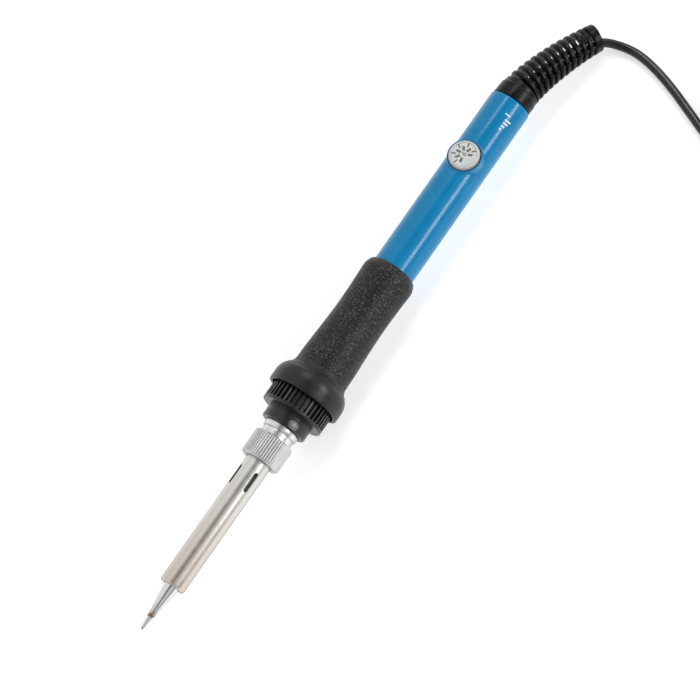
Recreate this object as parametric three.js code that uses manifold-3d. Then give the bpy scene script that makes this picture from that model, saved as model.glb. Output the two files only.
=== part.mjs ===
// A mains soldering iron with a temperature dial: a plated tip in a slotted
// steel barrel, a knurled barrel nut, a ribbed resin collar, a rubber grip on a
// plastic tube, the control board inside the tube, and a mains cord with its plug.
//
// Row frame, in millimetres: +X runs along the iron from the tip to the cord,
// +Z goes up through the dial, and z = 0 is the surface that the iron lies on.
// The iron itself is drawn in its own group, where x is the distance from the
// tip's end and the axis is y = z = 0. The cord and plug are in the row frame.

import * as THREE from 'three';
import { mergeVertices } from 'three/addons/utils/BufferGeometryUtils.js';
import Module from 'manifold-3d';

const wasm = await Module();
wasm.setup();

// Stations along the iron, from the tip's end
const BARREL_FRONT = 15.8;
const TIP_SHOULDER = 17.1;
const TIP_BORE_FRONT = 19.4;
const HEATER_FRONT = 20.5;
const TIP_LENGTH = 41;
const SLOT_FRONT = 51.8;
const NUT_FRONT = 62.6;
const NUT_LIP_REAR = 64.7;
const FLANGE_FRONT = 64.9;
const FLANGE_REAR = 66;
const NIPPLE_FRONT = 66.3;
const NUT_REAR = 71.2;
const NIPPLE_RING = 73.6;
const COLLAR_FRONT = 75.5;
const BUMP_PLACE = 76.9;
const RING_FRONT = 80.2;
const NIPPLE_REAR = 84;
const SKIRT_FRONT = 86.3;
const RING_REAR = 88;
const TUBE_FRONT = 88.5;
const HEATER_REAR = 90.5;
const IRON_MIDDLE = 101.6;
const COLLAR_REAR = 104;
const BOARD_FRONT = 112;
const GRIP_REAR = 136.2;
const DIAL_PLACE = 178.1;
const BOARD_REAR = 188;
const CORD_INNER_END = 190.2;
const SPIGOT_FRONT = 195;
const TUBE_REAR = 202.3;
const RELIEF_BASE_END = 208.6;

// Radii
const TIP_END_R = 0.45;
const TIP_NECK_R = 2.55;
const TIP_SHANK_R = 3.25;
const TIP_BORE_R = 2.1;
const BARREL_R = 4.25;
const BARREL_BORE_R = 3.6;
const BARREL_FLANGE_R = 5.2;
const NUT_R = 6.85;
const THREAD_R = 5.4;
const NIPPLE_NECK_R = 5.3;
const NIPPLE_RING_R = 5.8;
const NIPPLE_SPIGOT_R = 5;
const NECK_R = 7.6;
const RING_R = 10.5;
const SKIRT_BORE_R = 11.15;
const SKIRT_R = 12.3;
const TUBE_R = 7;
const TUBE_BORE_R = 6;
const HEATER_R = 1.95;
const DIAL_R = 5.05;
const DIAL_FACE_R = 4.3;
const RECESS_R = 5.3;
const BOSS_R = 5.75;
const SHAFT_R = 1.5;
const WIRE_R = 0.4;
const CORD_R = 1.5;

// Other driving sizes
const GAP = 0.15;               // between fixed pieces that sit on each other
const SLOT_LENGTH = 7;
const SLOT_WIDTH = 1.35;
const SLOT_TURN = 43.2;         // turns are in degrees from +Z towards -Y
const NUT_RIBS = 46;
const NUT_FLAT = 5.95;          // from the axis to a wrench flat
const NUT_FLAT_TURN = 74;
const RING_RIBS = 40;
const RING_RIM = 1;             // the plain front rim of the ribbed ring
const BUMP_TURN = 38.5;
const BOARD_TOP = -0.2;
const DIAL_BOTTOM = 4.9;        // heights of the dial, from the iron's axis
const DIAL_SHOULDER = 7.3;
const DIAL_TOP = 8;
const RECESS_Y = -0.12;         // the boss and recess sit a little off the dial's axis
const RECESS_FLOOR = 4.4;
const SIDES = 32;

const RELIEF_CURVE = new THREE.CubicBezierCurve3(
  new THREE.Vector3(TUBE_REAR, 0, 0),
  new THREE.Vector3(214.6, 0, 0),
  new THREE.Vector3(233.5, -5.8, -6.3),
  new THREE.Vector3(238.3, -8.2, -7.45),
);
const RELIEF_RIBS = 11;

// The cord's route on the surface, and where its coil and plug lie
const CORD_ROUTE = [
  [136.5, -10.8, 3.9], [137.1, -11.7, 3.6], [137.7, -12.9, 3.25], [138.3, -14.7, 2.8],
  [138.9, -17.1, 2.3], [139.2, -19.7, 1.95], [139.1, -22.4, 1.7], [138.5, -25.9, 1.58],
  [137.3, -30.1, 1.55], [135.7, -34.6, 1.55], [133.7, -39.4, 1.55], [131.4, -44.3, 1.55],
  [129.4, -48.6, 1.55], [127.5, -52.6, 1.55], [125.6, -57.1, 1.55],
];
const COIL_CENTRE = [141.7, -74];
const COIL_MEAN_R = 16;
const COIL_LAYERS = 4;
const TAIL_ROUTE = [
  [160.7, -61.3, 9.2], [160.7, -56, 7.4], [160.8, -50, 5.2], [162.6, -43.6, 3.2],
  [166.6, -39.5, 2.2], [172.7, -37.9, 1.8], [178.8, -39.5, 2.3], [182.8, -43.6, 3.8],
  [184.6, -48.5, 5.7], [184.7, -51.6, 6.5],
];
const PLUG_X = 184.7;
const PLUG_Z = 6.5;
const PLUG_THICK = 13;
const PLUG_CORD_END = -51.9;
const PLUG_FACE = -84;
const BLADE_LENGTH = 17;

// Materials

const finish = (color, roughness, metalness = 0) =>
  () => new THREE.MeshStandardMaterial({ color, roughness, metalness });
const chrome = finish(0xcfcfcc, 0.2, 1);
const steel = finish(0xc3bdb6, 0.35, 1);
const nickel = finish(0xd2d0cb, 0.25, 1);
const resin = finish(0x2c2c2d, 0.45);
const rubber = finish(0x343434, 0.85);
const bluePlastic = finish(0x107ab2, 0.25);
const greyPlastic = finish(0xc4c6c3, 0.5);
const ceramic = finish(0xe9e6df, 0.6);
const board = finish(0x2f6b3a, 0.5);
const blackPlastic = finish(0x1b1b1c, 0.5);
const redPlastic = finish(0xa3341f, 0.4);
const copper = finish(0xb87333, 0.35, 1);
const glassFibre = finish(0xe8e2cf, 0.9);
const cordRubber = finish(0x1e1e1f, 0.6);
const brass = finish(0xc9a24b, 0.3, 1);

// Solids

function solidFrom(geometry) {
  const bare = geometry.clone();
  bare.deleteAttribute('normal');
  bare.deleteAttribute('uv');
  const merged = mergeVertices(bare, 1e-4);
  const place = merged.attributes.position;
  const corner = (i) => new THREE.Vector3().fromBufferAttribute(place, i);
  const triangles = [];
  let volume = 0;
  for (let i = 0; i < merged.index.count; i += 3) {
    const [a, b, c] = [0, 1, 2].map((k) => merged.index.getX(i + k));
    if (a === b || b === c || c === a) continue;
    triangles.push([a, b, c]);
    volume += corner(a).dot(corner(b).cross(corner(c)));
  }
  const outward = volume > 0 ? triangles : triangles.map(([a, b, c]) => [a, c, b]);
  return new wasm.Manifold(new wasm.Mesh({
    numProp: 3,
    vertProperties: new Float32Array(place.array),
    triVerts: new Uint32Array(outward.flat()),
  }));
}

function geometryFrom(solid) {
  const mesh = solid.getMesh();
  const geometry = new THREE.BufferGeometry();
  const places = new Float32Array(mesh.numVert * 3);
  for (let i = 0; i < mesh.numVert; i += 1) {
    for (let k = 0; k < 3; k += 1) {
      places[i * 3 + k] = mesh.vertProperties[i * mesh.numProp + k];
    }
  }
  geometry.setAttribute('position', new THREE.BufferAttribute(places, 3));
  geometry.setIndex(new THREE.BufferAttribute(new Uint32Array(mesh.triVerts), 1));
  geometry.computeVertexNormals();
  return geometry;
}

/** A profile of [x, radius] turned about the X axis, closed on itself if it is off the axis. */
function turnedGeometry(profile, sides = SIDES) {
  const points = profile.map(([x, r]) => new THREE.Vector2(r, x));
  if (profile[0][1] > 0) points.push(points[0].clone());
  return new THREE.LatheGeometry(points, sides).rotateZ(-Math.PI / 2);
}

const turned = (profile, sides) => solidFrom(turnedGeometry(profile, sides));

/** A ring or a rod along X, from one station to another. */
function sleeve(from, to, outer, inner, sides) {
  if (!inner) return turned([[from, 0], [from, outer], [to, outer], [to, 0]], sides);
  return turned([[from, inner], [from, outer], [to, outer], [to, inner]], sides);
}

/** A profile of [height, radius] turned about a vertical axis through x, y. */
function upright(profile, x, y, sides = SIDES) {
  const points = profile.map(([height, r]) => new THREE.Vector2(r, height));
  if (profile[0][1] > 0) points.push(points[0].clone());
  const geometry = new THREE.LatheGeometry(points, sides).rotateX(Math.PI / 2);
  return solidFrom(geometry.translate(x, y, 0));
}

function box(low, high) {
  const size = high.map((v, i) => v - low[i]);
  const middle = high.map((v, i) => (v + low[i]) / 2);
  return solidFrom(new THREE.BoxGeometry(...size).translate(...middle));
}

/** An outline of [y, z] points pushed along X. */
function prism(outline, from, to) {
  const shape = new THREE.Shape(outline.map(([y, z]) => new THREE.Vector2(y, z)));
  const geometry = new THREE.ExtrudeGeometry(shape, { depth: to - from, bevelEnabled: false });
  geometry.rotateX(Math.PI / 2).rotateZ(Math.PI / 2).translate(from, 0, 0);
  return solidFrom(geometry);
}

/** A round tube along a curve, hollow if it has an inner radius. */
function alongCurve(curve, outer, steps, inner = 0, sides = 8) {
  const shape = new THREE.Shape().absarc(0, 0, outer, 0, Math.PI * 2);
  if (inner) shape.holes.push(new THREE.Path().absarc(0, 0, inner, 0, Math.PI * 2, true));
  const options = { steps, extrudePath: curve, curveSegments: sides, bevelEnabled: false };
  return solidFrom(new THREE.ExtrudeGeometry(shape, options));
}

const through = (points) =>
  new THREE.CatmullRomCurve3(points.map((p) => new THREE.Vector3(...p)));

/** The outline of a round bar with straight ribs, [y, z] points round the X axis. */
function ribbedOutline(ribs, crest, root, limit = () => Infinity) {
  const outline = [];
  for (let rib = 0; rib < ribs; rib += 1) {
    for (const [share, radius] of [[0.1, crest], [0.5, crest], [0.65, root], [0.95, root]]) {
      const turn = ((rib + share) / ribs) * Math.PI * 2;
      const r = Math.min(radius, limit(turn));
      outline.push([-Math.sin(turn) * r, Math.cos(turn) * r]);
    }
  }
  return outline;
}

/** Turns a solid about the X axis by degrees from +Z towards -Y. */
const turnedBy = (solid, degrees) => solid.rotate([degrees, 0, 0]);

/** Bends a geometry made along X so that what lies past the curve's start follows the curve. */
function bent(geometry, curve) {
  const start = curve.getPointAt(0).x;
  const length = curve.getLength();
  const place = geometry.attributes.position;
  for (let i = 0; i < place.count; i += 1) {
    const [x, y, z] = [place.getX(i), place.getY(i), place.getZ(i)];
    if (x <= start) continue;
    const along = Math.min((x - start) / length, 1);
    const tangent = curve.getTangentAt(along);
    const up = new THREE.Vector3(0, 0, 1).addScaledVector(tangent, -tangent.z).normalize();
    const side = new THREE.Vector3().crossVectors(up, tangent);
    const at = curve.getPointAt(along).addScaledVector(side, y).addScaledVector(up, z);
    place.setXYZ(i, at.x, at.y, at.z);
  }
  return geometry;
}

// The tip and the parts that come off with the nut

/** The plated tip: a slim cone with two chisel flats, and a hollow shank for the heater. */
function makeTip() {
  const drillPoint = 1.2;
  const bladeHalf = 0.25;
  const flatEnd = 4.4;
  const flatHalf = 1.2;
  const flatTurn = 25;
  const body = turned([
    [0, 0], [0, TIP_END_R], [BARREL_FRONT, TIP_NECK_R], [TIP_SHOULDER, TIP_NECK_R],
    [TIP_SHOULDER, TIP_SHANK_R], [TIP_LENGTH, TIP_SHANK_R], [TIP_LENGTH, TIP_BORE_R],
    [TIP_BORE_FRONT, TIP_BORE_R], [TIP_BORE_FRONT - drillPoint, 0],
  ], 32);
  const shape = new THREE.Shape([
    new THREE.Vector2(-1, -bladeHalf), new THREE.Vector2(0, -bladeHalf),
    new THREE.Vector2(flatEnd, -flatHalf), new THREE.Vector2(flatEnd, -TIP_SHANK_R * 2),
    new THREE.Vector2(TIP_LENGTH + 1, -TIP_SHANK_R * 2),
    new THREE.Vector2(TIP_LENGTH + 1, TIP_SHANK_R * 2),
    new THREE.Vector2(flatEnd, TIP_SHANK_R * 2), new THREE.Vector2(flatEnd, flatHalf),
    new THREE.Vector2(0, bladeHalf), new THREE.Vector2(-1, bladeHalf),
  ]);
  const wedge = new THREE.ExtrudeGeometry(shape, { depth: 16, bevelEnabled: false });
  wedge.translate(0, 0, -8).rotateX(Math.PI / 2);
  return body.intersect(turnedBy(solidFrom(wedge), flatTurn));
}

/** The steel barrel: a rolled front lip, four slots, and a rear flange under the nut. */
function makeBarrel() {
  const corner = 1;
  const lipR = 2.75;
  const wall = 0.9;
  const body = turned([
    [BARREL_FRONT, lipR], [BARREL_FRONT, BARREL_R - corner],
    [BARREL_FRONT + corner * 0.29, BARREL_R - corner * 0.29],
    [BARREL_FRONT + corner, BARREL_R], [FLANGE_FRONT, BARREL_R],
    [FLANGE_FRONT, BARREL_FLANGE_R], [FLANGE_REAR, BARREL_FLANGE_R], [FLANGE_REAR, BARREL_BORE_R],
    [BARREL_FRONT + wall, BARREL_BORE_R], [BARREL_FRONT + wall, lipR],
  ]);
  const half = SLOT_WIDTH / 2;
  const straight = SLOT_LENGTH - SLOT_WIDTH;
  const shape = new THREE.Shape();
  shape.absarc(SLOT_FRONT + half, 0, half, Math.PI / 2, Math.PI * 1.5);
  shape.absarc(SLOT_FRONT + half + straight, 0, half, -Math.PI / 2, Math.PI / 2);
  const options = { depth: BARREL_R * 2, curveSegments: 4, bevelEnabled: false };
  const cutter = solidFrom(new THREE.ExtrudeGeometry(shape, options));
  return [0, 90, 180, 270].reduce(
    (barrel, turn) => barrel.subtract(turnedBy(cutter, SLOT_TURN + turn)),
    body,
  );
}

/** The knurled nut: straight ribs, two wrench flats, chamfered rims, and a front lip. */
function makeNut() {
  const chamfer = 0.45;
  const ribDepth = 0.28;
  const lipBore = BARREL_R + GAP;
  const threadBore = THREAD_R + GAP;
  const flatTurn = THREE.MathUtils.degToRad(NUT_FLAT_TURN);
  const limit = (turn) => NUT_FLAT / Math.max(Math.abs(Math.cos(turn - flatTurn)), 0.1);
  const ribs = prism(ribbedOutline(NUT_RIBS, NUT_R, NUT_R - ribDepth, limit), NUT_FRONT, NUT_REAR);
  const rims = turned([
    [NUT_FRONT, lipBore], [NUT_FRONT, NUT_R - chamfer], [NUT_FRONT + chamfer, NUT_R + 0.1],
    [NUT_REAR - chamfer, NUT_R + 0.1], [NUT_REAR, NUT_R - chamfer], [NUT_REAR, threadBore],
    [NUT_LIP_REAR, threadBore], [NUT_LIP_REAR, lipBore],
  ]);
  return ribs.intersect(rims);
}

// The collar, the grip and the tube

/** The threaded metal nipple that the nut screws on. */
function makeNipple() {
  const threadRear = NUT_REAR + 0.4;
  const shoulder = 0.4;
  return turned([
    [NIPPLE_FRONT, BARREL_BORE_R], [NIPPLE_FRONT, THREAD_R], [threadRear, THREAD_R],
    [threadRear + shoulder, NIPPLE_NECK_R], [NIPPLE_RING - shoulder, NIPPLE_NECK_R],
    [NIPPLE_RING, NIPPLE_RING_R], [COLLAR_FRONT - GAP, NIPPLE_RING_R],
    [COLLAR_FRONT - GAP, NIPPLE_SPIGOT_R], [NIPPLE_REAR, NIPPLE_SPIGOT_R],
    [NIPPLE_REAR, BARREL_BORE_R],
  ]);
}

/** The heat-proof collar: a round neck with its bump, the ribbed ring, and a rear spigot. */
function makeCollar() {
  const corner = 0.8;
  const edge = 0.2;
  const ribDepth = 0.7;
  const grooveR = RING_R - ribDepth - 0.05;
  const bore = NIPPLE_SPIGOT_R + GAP;
  const boreRear = NIPPLE_REAR + GAP;
  const spigotR = TUBE_BORE_R - GAP;
  const wireBore = 4;
  const body = turned([
    [COLLAR_FRONT, bore], [COLLAR_FRONT, NECK_R - corner],
    [COLLAR_FRONT + corner * 0.3, NECK_R - corner * 0.3], [COLLAR_FRONT + corner, NECK_R],
    [RING_FRONT, NECK_R], [RING_FRONT, RING_R - edge], [RING_FRONT + edge, RING_R],
    [RING_FRONT + RING_RIM, RING_R], [RING_FRONT + RING_RIM, grooveR],
    [RING_REAR, grooveR], [RING_REAR, spigotR], [COLLAR_REAR, spigotR],
    [COLLAR_REAR, wireBore], [boreRear, wireBore], [boreRear, bore],
  ]);
  const crests = ribbedOutline(RING_RIBS, RING_R, RING_R - ribDepth);
  const ribs = prism(crests, RING_FRONT + RING_RIM / 2, RING_REAR);
  const hollow = sleeve(RING_FRONT - 1, RING_REAR + 1, RING_R - ribDepth * 2, 0);
  const bumpR = 1.4;
  const sunk = 0.75;
  const bump = solidFrom(new THREE.SphereGeometry(bumpR, 12, 8).translate(0, 0, NECK_R - sunk));
  const placed = turnedBy(bump, BUMP_TURN).translate([BUMP_PLACE, 0, 0]);
  return body.add(ribs.subtract(hollow)).add(placed);
}

/** The rubber grip: a skirt over the ribbed ring, a waist, and the sleeve on the tube. */
function makeGrip() {
  const bore = TUBE_R + GAP;
  const edge = 0.3;
  const floor = RING_REAR + 0.3;
  const outside = [
    [91, SKIRT_R], [92.2, 11.95], [93.1, 11.3], [93.9, 10.2], [95.1, 9.35], [96, 9.1],
    [102, 9.1], [110, 8.6], [118, 8.35], [126, 8.5], [132.2, 8.8], [133.6, 8.8],
    [135.2, 8.3], [GRIP_REAR, 7.3],
  ];
  return turned([
    [SKIRT_FRONT, SKIRT_BORE_R], [SKIRT_FRONT, SKIRT_R - edge], [SKIRT_FRONT + edge, SKIRT_R],
    ...outside, [GRIP_REAR, bore], [floor, bore], [floor, SKIRT_BORE_R],
  ]);
}

/** The handle tube, with a round boss and recess for the dial. */
function makeTube() {
  const corner = 0.4;
  const edge = 0.15;
  const bossTop = TUBE_R + 0.05;
  const outside = turned([
    [TUBE_FRONT, 0], [TUBE_FRONT, TUBE_R], [TUBE_REAR - corner, TUBE_R],
    [TUBE_REAR, TUBE_R - corner], [TUBE_REAR, 0],
  ]);
  const boss = upright([[0, 0], [0, BOSS_R], [bossTop - edge, BOSS_R],
    [bossTop, BOSS_R - edge], [bossTop, 0]], DIAL_PLACE, RECESS_Y);
  const inside = sleeve(TUBE_FRONT - 1, TUBE_REAR + 1, TUBE_BORE_R, 0);
  const recess = upright([[RECESS_FLOOR, 0], [RECESS_FLOOR, RECESS_R],
    [bossTop + 1, RECESS_R], [bossTop + 1, 0]], DIAL_PLACE, RECESS_Y);
  return outside.add(boss).subtract(inside).subtract(recess);
}

/** The temperature dial, with a blind hole for the shaft. */
function makeDial() {
  const edge = 0.1;
  const holeR = SHAFT_R + GAP;
  const holeTop = 6.3;
  return upright([
    [holeTop, 0], [holeTop, holeR], [DIAL_BOTTOM, holeR], [DIAL_BOTTOM, DIAL_R],
    [DIAL_SHOULDER, DIAL_R], [DIAL_TOP - edge, DIAL_FACE_R + edge],
    [DIAL_TOP, DIAL_FACE_R], [DIAL_TOP, 0],
  ], DIAL_PLACE, 0);
}

// What is inside

const makeShaft = () =>
  upright([[2.2, 0], [2.2, SHAFT_R], [6.2, SHAFT_R], [6.2, 0]], DIAL_PLACE, 0, 16);

/** The rotary resistor that the dial's shaft turns in. */
function makePot() {
  const half = 4.25;
  const body = box([DIAL_PLACE - half, -half, BOARD_TOP + 0.1], [DIAL_PLACE + half, half, 3]);
  const well = SHAFT_R + GAP;
  return body.subtract(upright([[2, 0], [2, well], [4, well], [4, 0]], DIAL_PLACE, 0, 16));
}

const makeHeater = () => sleeve(HEATER_FRONT, HEATER_REAR, HEATER_R, 0, 24);

/** The ceramic bush that holds the heater in the nipple. */
const makeBush = () => sleeve(70, 80, BARREL_BORE_R - GAP, HEATER_R + GAP, 24);

/** The heater's two wires, from its rear end to pads at the front of the board. */
function heaterWire(side) {
  return through([
    [HEATER_REAR + 0.3, side * 0.9, 0], [96, side * 1.2, 0], [104, side * 2, 0.2],
    [111, side * 3, 0.5], [BOARD_FRONT + 3.5, side * 3.4, BOARD_TOP + WIRE_R + 0.1],
  ]);
}

/** A glass-fibre sleeve round the middle of a heater wire. */
function heaterSleeve(side) {
  const wire = heaterWire(side);
  const points = [0.12, 0.25, 0.4, 0.55, 0.7].map((share) => wire.getPointAt(share));
  const curve = new THREE.CatmullRomCurve3(points);
  return alongCurve(curve, WIRE_R + 0.45, 5, WIRE_R + 0.15, 6);
}

/** A mains wire, from the cord's stripped end to a pad at the rear of the board. */
function mainsWire(side) {
  return through([
    [CORD_INNER_END - 0.3, side * 0.7, 0], [188.5, side * 1.6, 0.1],
    [186.5, side * 3, 0.4], [184.5, side * 4.9, BOARD_TOP + WIRE_R + 0.1],
  ]);
}

const makeBoard = () =>
  box([BOARD_FRONT, -5.4, BOARD_TOP - 1.6], [BOARD_REAR, 5.4, BOARD_TOP]);

/** The power switch: a flat moulded body with three legs down to the board. */
function makeTriac() {
  const legs = [-2.3, 0, 2.3].map((y) =>
    box([142.6, y - 0.35, BOARD_TOP + 0.1], [146.4, y + 0.35, BOARD_TOP + 0.7]));
  const body = box([132, -3.9, BOARD_TOP + 0.1], [143, 3.9, 2.6]);
  return legs.reduce((triac, leg) => triac.add(leg), body);
}

const makeCapacitor = () => box([150, -2.6, BOARD_TOP + 0.1], [162.5, 2.6, 4.4]);

/** A small part with a lead at each end, lying along the board. */
function axialPart(middle, y, length, radius) {
  const lead = 0.3;
  const reach = length / 2 + 2.4;
  return turned([
    [middle - reach, 0], [middle - reach, lead], [middle - length / 2, lead],
    [middle - length / 2, radius], [middle + length / 2, radius],
    [middle + length / 2, lead], [middle + reach, lead], [middle + reach, 0],
  ], 12).translate([0, y, BOARD_TOP + radius + 0.1]);
}

/** The crimped collar that keeps the cord from being pulled out. */
const makeCordCrimp = () => sleeve(191.2, 194.4, 3.1, CORD_R + GAP, 16);

// The strain relief, the cord and the plug

/** The strain relief: a plug in the tube's end, a plain ring, and ribs that taper away. */
function makeRelief() {
  const base = TUBE_REAR + 0.2;
  const end = TUBE_REAR + RELIEF_CURVE.getLength() - 0.01;
  const endRing = 3.2;
  const endRingR = 4.8;
  const baseR = 6.6;
  const firstRibR = 6.4;
  const lastRibR = 4.9;
  const bore = CORD_R + 0.5;
  const coreR = 3.2;
  const pitch = (end - endRing - RELIEF_BASE_END) / RELIEF_RIBS;
  const outline = [
    [SPIGOT_FRONT, bore], [SPIGOT_FRONT, TUBE_BORE_R - GAP], [base, TUBE_BORE_R - GAP],
    [base, baseR], [RELIEF_BASE_END, baseR - 0.1], [RELIEF_BASE_END, coreR],
  ];
  for (let rib = 0; rib < RELIEF_RIBS; rib += 1) {
    const at = RELIEF_BASE_END + pitch * rib;
    const crest = firstRibR + ((lastRibR - firstRibR) * rib) / RELIEF_RIBS;
    outline.push([at + pitch * 0.35, coreR], [at + pitch * 0.43, crest]);
    outline.push([at + pitch * 0.77, crest], [at + pitch * 0.85, coreR]);
  }
  outline.push([end - endRing, coreR], [end - endRing, endRingR]);
  outline.push([end, endRingR], [end, bore]);
  const boreSteps = 10;
  for (let step = 1; step < boreSteps; step += 1) {
    outline.push([end + ((TUBE_REAR - end) * step) / boreSteps, bore]);
  }
  return solidFrom(bent(turnedGeometry(outline, 16), RELIEF_CURVE));
}

/** The cord's first stretch, inside the tube and the strain relief. */
function makeLeadIn() {
  const straight = [CORD_INNER_END, 196, 200].map((x) => new THREE.Vector3(x, 0, 0));
  const past = RELIEF_CURVE.getSpacedPoints(8);
  return alongCurve(new THREE.CatmullRomCurve3([...straight, ...past]), CORD_R, 14);
}

/** The outer shape of the wound cord. */
function makeCoil() {
  const half = CORD_R * 3 + 0.2;
  const [inner, outer] = [COIL_MEAN_R - half, COIL_MEAN_R + half];
  const top = COIL_LAYERS * CORD_R * 2 + 0.3;
  const bottom = 0.05;
  const bevel = 0.8;
  return upright([
    [bottom, inner + bevel], [bottom, outer - bevel], [bottom + bevel, outer],
    [top - bevel, outer], [top, outer - bevel], [top, inner + bevel],
    [top - bevel, inner], [bottom + bevel, inner],
  ], ...COIL_CENTRE, 32);
}

/** The tie: a band round the coil's turns, on the far side from the iron. */
function makeTie() {
  const half = CORD_R * 3 + 0.5;
  const top = COIL_LAYERS * CORD_R * 2 + 0.6;
  const wall = 0.8;
  const width = 3;
  const [x, y] = COIL_CENTRE;
  const [near, far] = [COIL_MEAN_R - half, COIL_MEAN_R + half];
  const band = box([x - width / 2, y - far - wall, top], [x + width / 2, y - near + wall, top + wall]);
  const outerSide = box([x - width / 2, y - far - wall, 0.3], [x + width / 2, y - far, top + wall]);
  const innerSide = box([x - width / 2, y - near, 0.3], [x + width / 2, y - near + wall, top + wall]);
  return band.add(outerSide).add(innerSide);
}

/** The plug: a flat moulded body, tapered to its own strain relief. */
function makePlug() {
  const length = PLUG_CORD_END - PLUG_FACE;
  const half = PLUG_THICK / 2;
  const bevel = 1.4;
  const plan = [
    [-12, 0], [12, 0], [12, 9], [10.4, 14], [6.2, 20.5], [5.2, 22], [4.2, length],
    [-4.2, length], [-5.2, 22], [-6.2, 20.5], [-10.4, 14], [-12, 9],
  ];
  const shape = new THREE.Shape(plan.map(([x, y]) => new THREE.Vector2(x, y)));
  const block = new THREE.ExtrudeGeometry(shape, {
    depth: PLUG_THICK - bevel * 2, bevelSize: bevel, bevelThickness: bevel,
    bevelSegments: 2, bevelOffset: -bevel,
  }).translate(0, 0, bevel - half);
  const side = prism([
    [0.2, -half], [18, -half], [22, -4.6], [length - 0.2, -3.8],
    [length - 0.2, 3.8], [22, 4.6], [18, half], [0.2, half],
  ], -14, 14);
  return solidFrom(block).intersect(side).translate([PLUG_X, PLUG_FACE, PLUG_Z]);
}

/** One flat blade of the plug. */
function makeBlade(side) {
  const [thick, wide, pitch] = [1.5, 6.3, 12.7];
  const x = PLUG_X + (side * pitch) / 2;
  const root = PLUG_FACE - 0.1;
  return box(
    [x - thick / 2, root - BLADE_LENGTH, PLUG_Z - wide / 2],
    [x + thick / 2, root, PLUG_Z + wide / 2],
  );
}

// The whole

const group = new THREE.Group();
const iron = new THREE.Group();
iron.position.set(-IRON_MIDDLE, 0, SKIRT_R);
group.add(iron);

function add(parent, name, solid, material) {
  const mesh = new THREE.Mesh(geometryFrom(solid), material());
  mesh.name = name;
  parent.add(mesh);
}

add(iron, 'soldering_tip', makeTip(), chrome);
add(iron, 'barrel_tube', makeBarrel(), steel);
add(iron, 'barrel_nut', makeNut(), nickel);
add(iron, 'barrel_nipple', makeNipple(), nickel);
add(iron, 'collar', makeCollar(), resin);
add(iron, 'grip_sleeve', makeGrip(), rubber);
add(iron, 'handle_tube', makeTube(), bluePlastic);
add(iron, 'temperature_dial', makeDial(), greyPlastic);
add(iron, 'dial_shaft', makeShaft(), blackPlastic);
add(iron, 'dial_resistor', makePot(), blackPlastic);
add(iron, 'ceramic_heater', makeHeater(), ceramic);
add(iron, 'heater_bush', makeBush(), ceramic);
add(iron, 'circuit_board', makeBoard(), board);
add(iron, 'power_triac', makeTriac(), blackPlastic);
add(iron, 'film_capacitor', makeCapacitor(), redPlastic);
add(iron, 'trigger_diac', axialPart(122, -2.6, 4, 0.9), redPlastic);
add(iron, 'timing_resistor', axialPart(122, 2.6, 6.4, 1.2), greyPlastic);
add(iron, 'limit_resistor', axialPart(168, 0, 4.6, 1.1), greyPlastic);
[['a', 1], ['b', -1]].forEach(([letter, side]) => {
  add(iron, `heater_wire_${letter}`, alongCurve(heaterWire(side), WIRE_R, 9, 0, 6), nickel);
  add(iron, `heater_wire_sleeve_${letter}`, heaterSleeve(side), glassFibre);
  add(iron, `mains_wire_${letter}`, alongCurve(mainsWire(side), WIRE_R, 6, 0, 6), copper);
});
add(iron, 'cord_crimp', makeCordCrimp(), nickel);
add(iron, 'strain_relief', makeRelief(), cordRubber);
add(iron, 'cord_lead_in', makeLeadIn(), cordRubber);
add(group, 'cord_run', alongCurve(through(CORD_ROUTE), CORD_R, 12), cordRubber);
add(group, 'cord_coil', makeCoil(), cordRubber);
add(group, 'coil_tie', makeTie(), blackPlastic);
add(group, 'cord_tail', alongCurve(through(TAIL_ROUTE), CORD_R, 10), cordRubber);
add(group, 'plug_body', makePlug(), blackPlastic);
add(group, 'plug_blade_a', makeBlade(-1), brass);
add(group, 'plug_blade_b', makeBlade(1), brass);

export default group;
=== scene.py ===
"""The looks of a mains soldering iron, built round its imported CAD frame.

The iron lies along +X with its dial up. Inside this file most sizes are in
millimetres, and MM turns them into Blender's metres. A place on the iron is
(x, y, z): x from the tip's end, y and z from the iron's axis. A turn is an angle
about that axis, from +Z towards -Y. The cord, its tie and its plug are in the
row frame, like the CAD's route.
"""

import math

import bmesh
import bpy
import numpy as np
from mathutils import Matrix, Vector


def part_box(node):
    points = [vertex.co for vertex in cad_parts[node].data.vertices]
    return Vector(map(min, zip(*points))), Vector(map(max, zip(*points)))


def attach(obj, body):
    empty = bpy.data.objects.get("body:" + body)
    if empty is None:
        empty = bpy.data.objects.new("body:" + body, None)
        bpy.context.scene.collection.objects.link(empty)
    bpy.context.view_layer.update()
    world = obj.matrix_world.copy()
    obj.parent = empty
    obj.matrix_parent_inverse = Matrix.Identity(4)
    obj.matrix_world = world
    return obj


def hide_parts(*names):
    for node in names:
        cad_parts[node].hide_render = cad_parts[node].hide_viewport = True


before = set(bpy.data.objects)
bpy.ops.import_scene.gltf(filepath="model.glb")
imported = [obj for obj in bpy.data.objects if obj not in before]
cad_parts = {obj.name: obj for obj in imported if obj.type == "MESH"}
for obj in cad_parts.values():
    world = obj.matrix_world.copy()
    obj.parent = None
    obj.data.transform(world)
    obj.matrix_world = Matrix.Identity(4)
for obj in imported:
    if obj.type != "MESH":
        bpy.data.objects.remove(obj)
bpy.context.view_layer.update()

MM = 0.001
TIP_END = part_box("soldering_tip")[0].x
AXIS_Z = (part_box("grip_sleeve")[0].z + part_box("grip_sleeve")[1].z) / 2


def front(node):
    """Where a CAD node starts along the iron, in mm from the tip's end."""
    return (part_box(node)[0].x - TIP_END) / MM


def rear(node):
    """Where a CAD node ends along the iron, in mm from the tip's end."""
    return (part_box(node)[1].x - TIP_END) / MM


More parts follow.
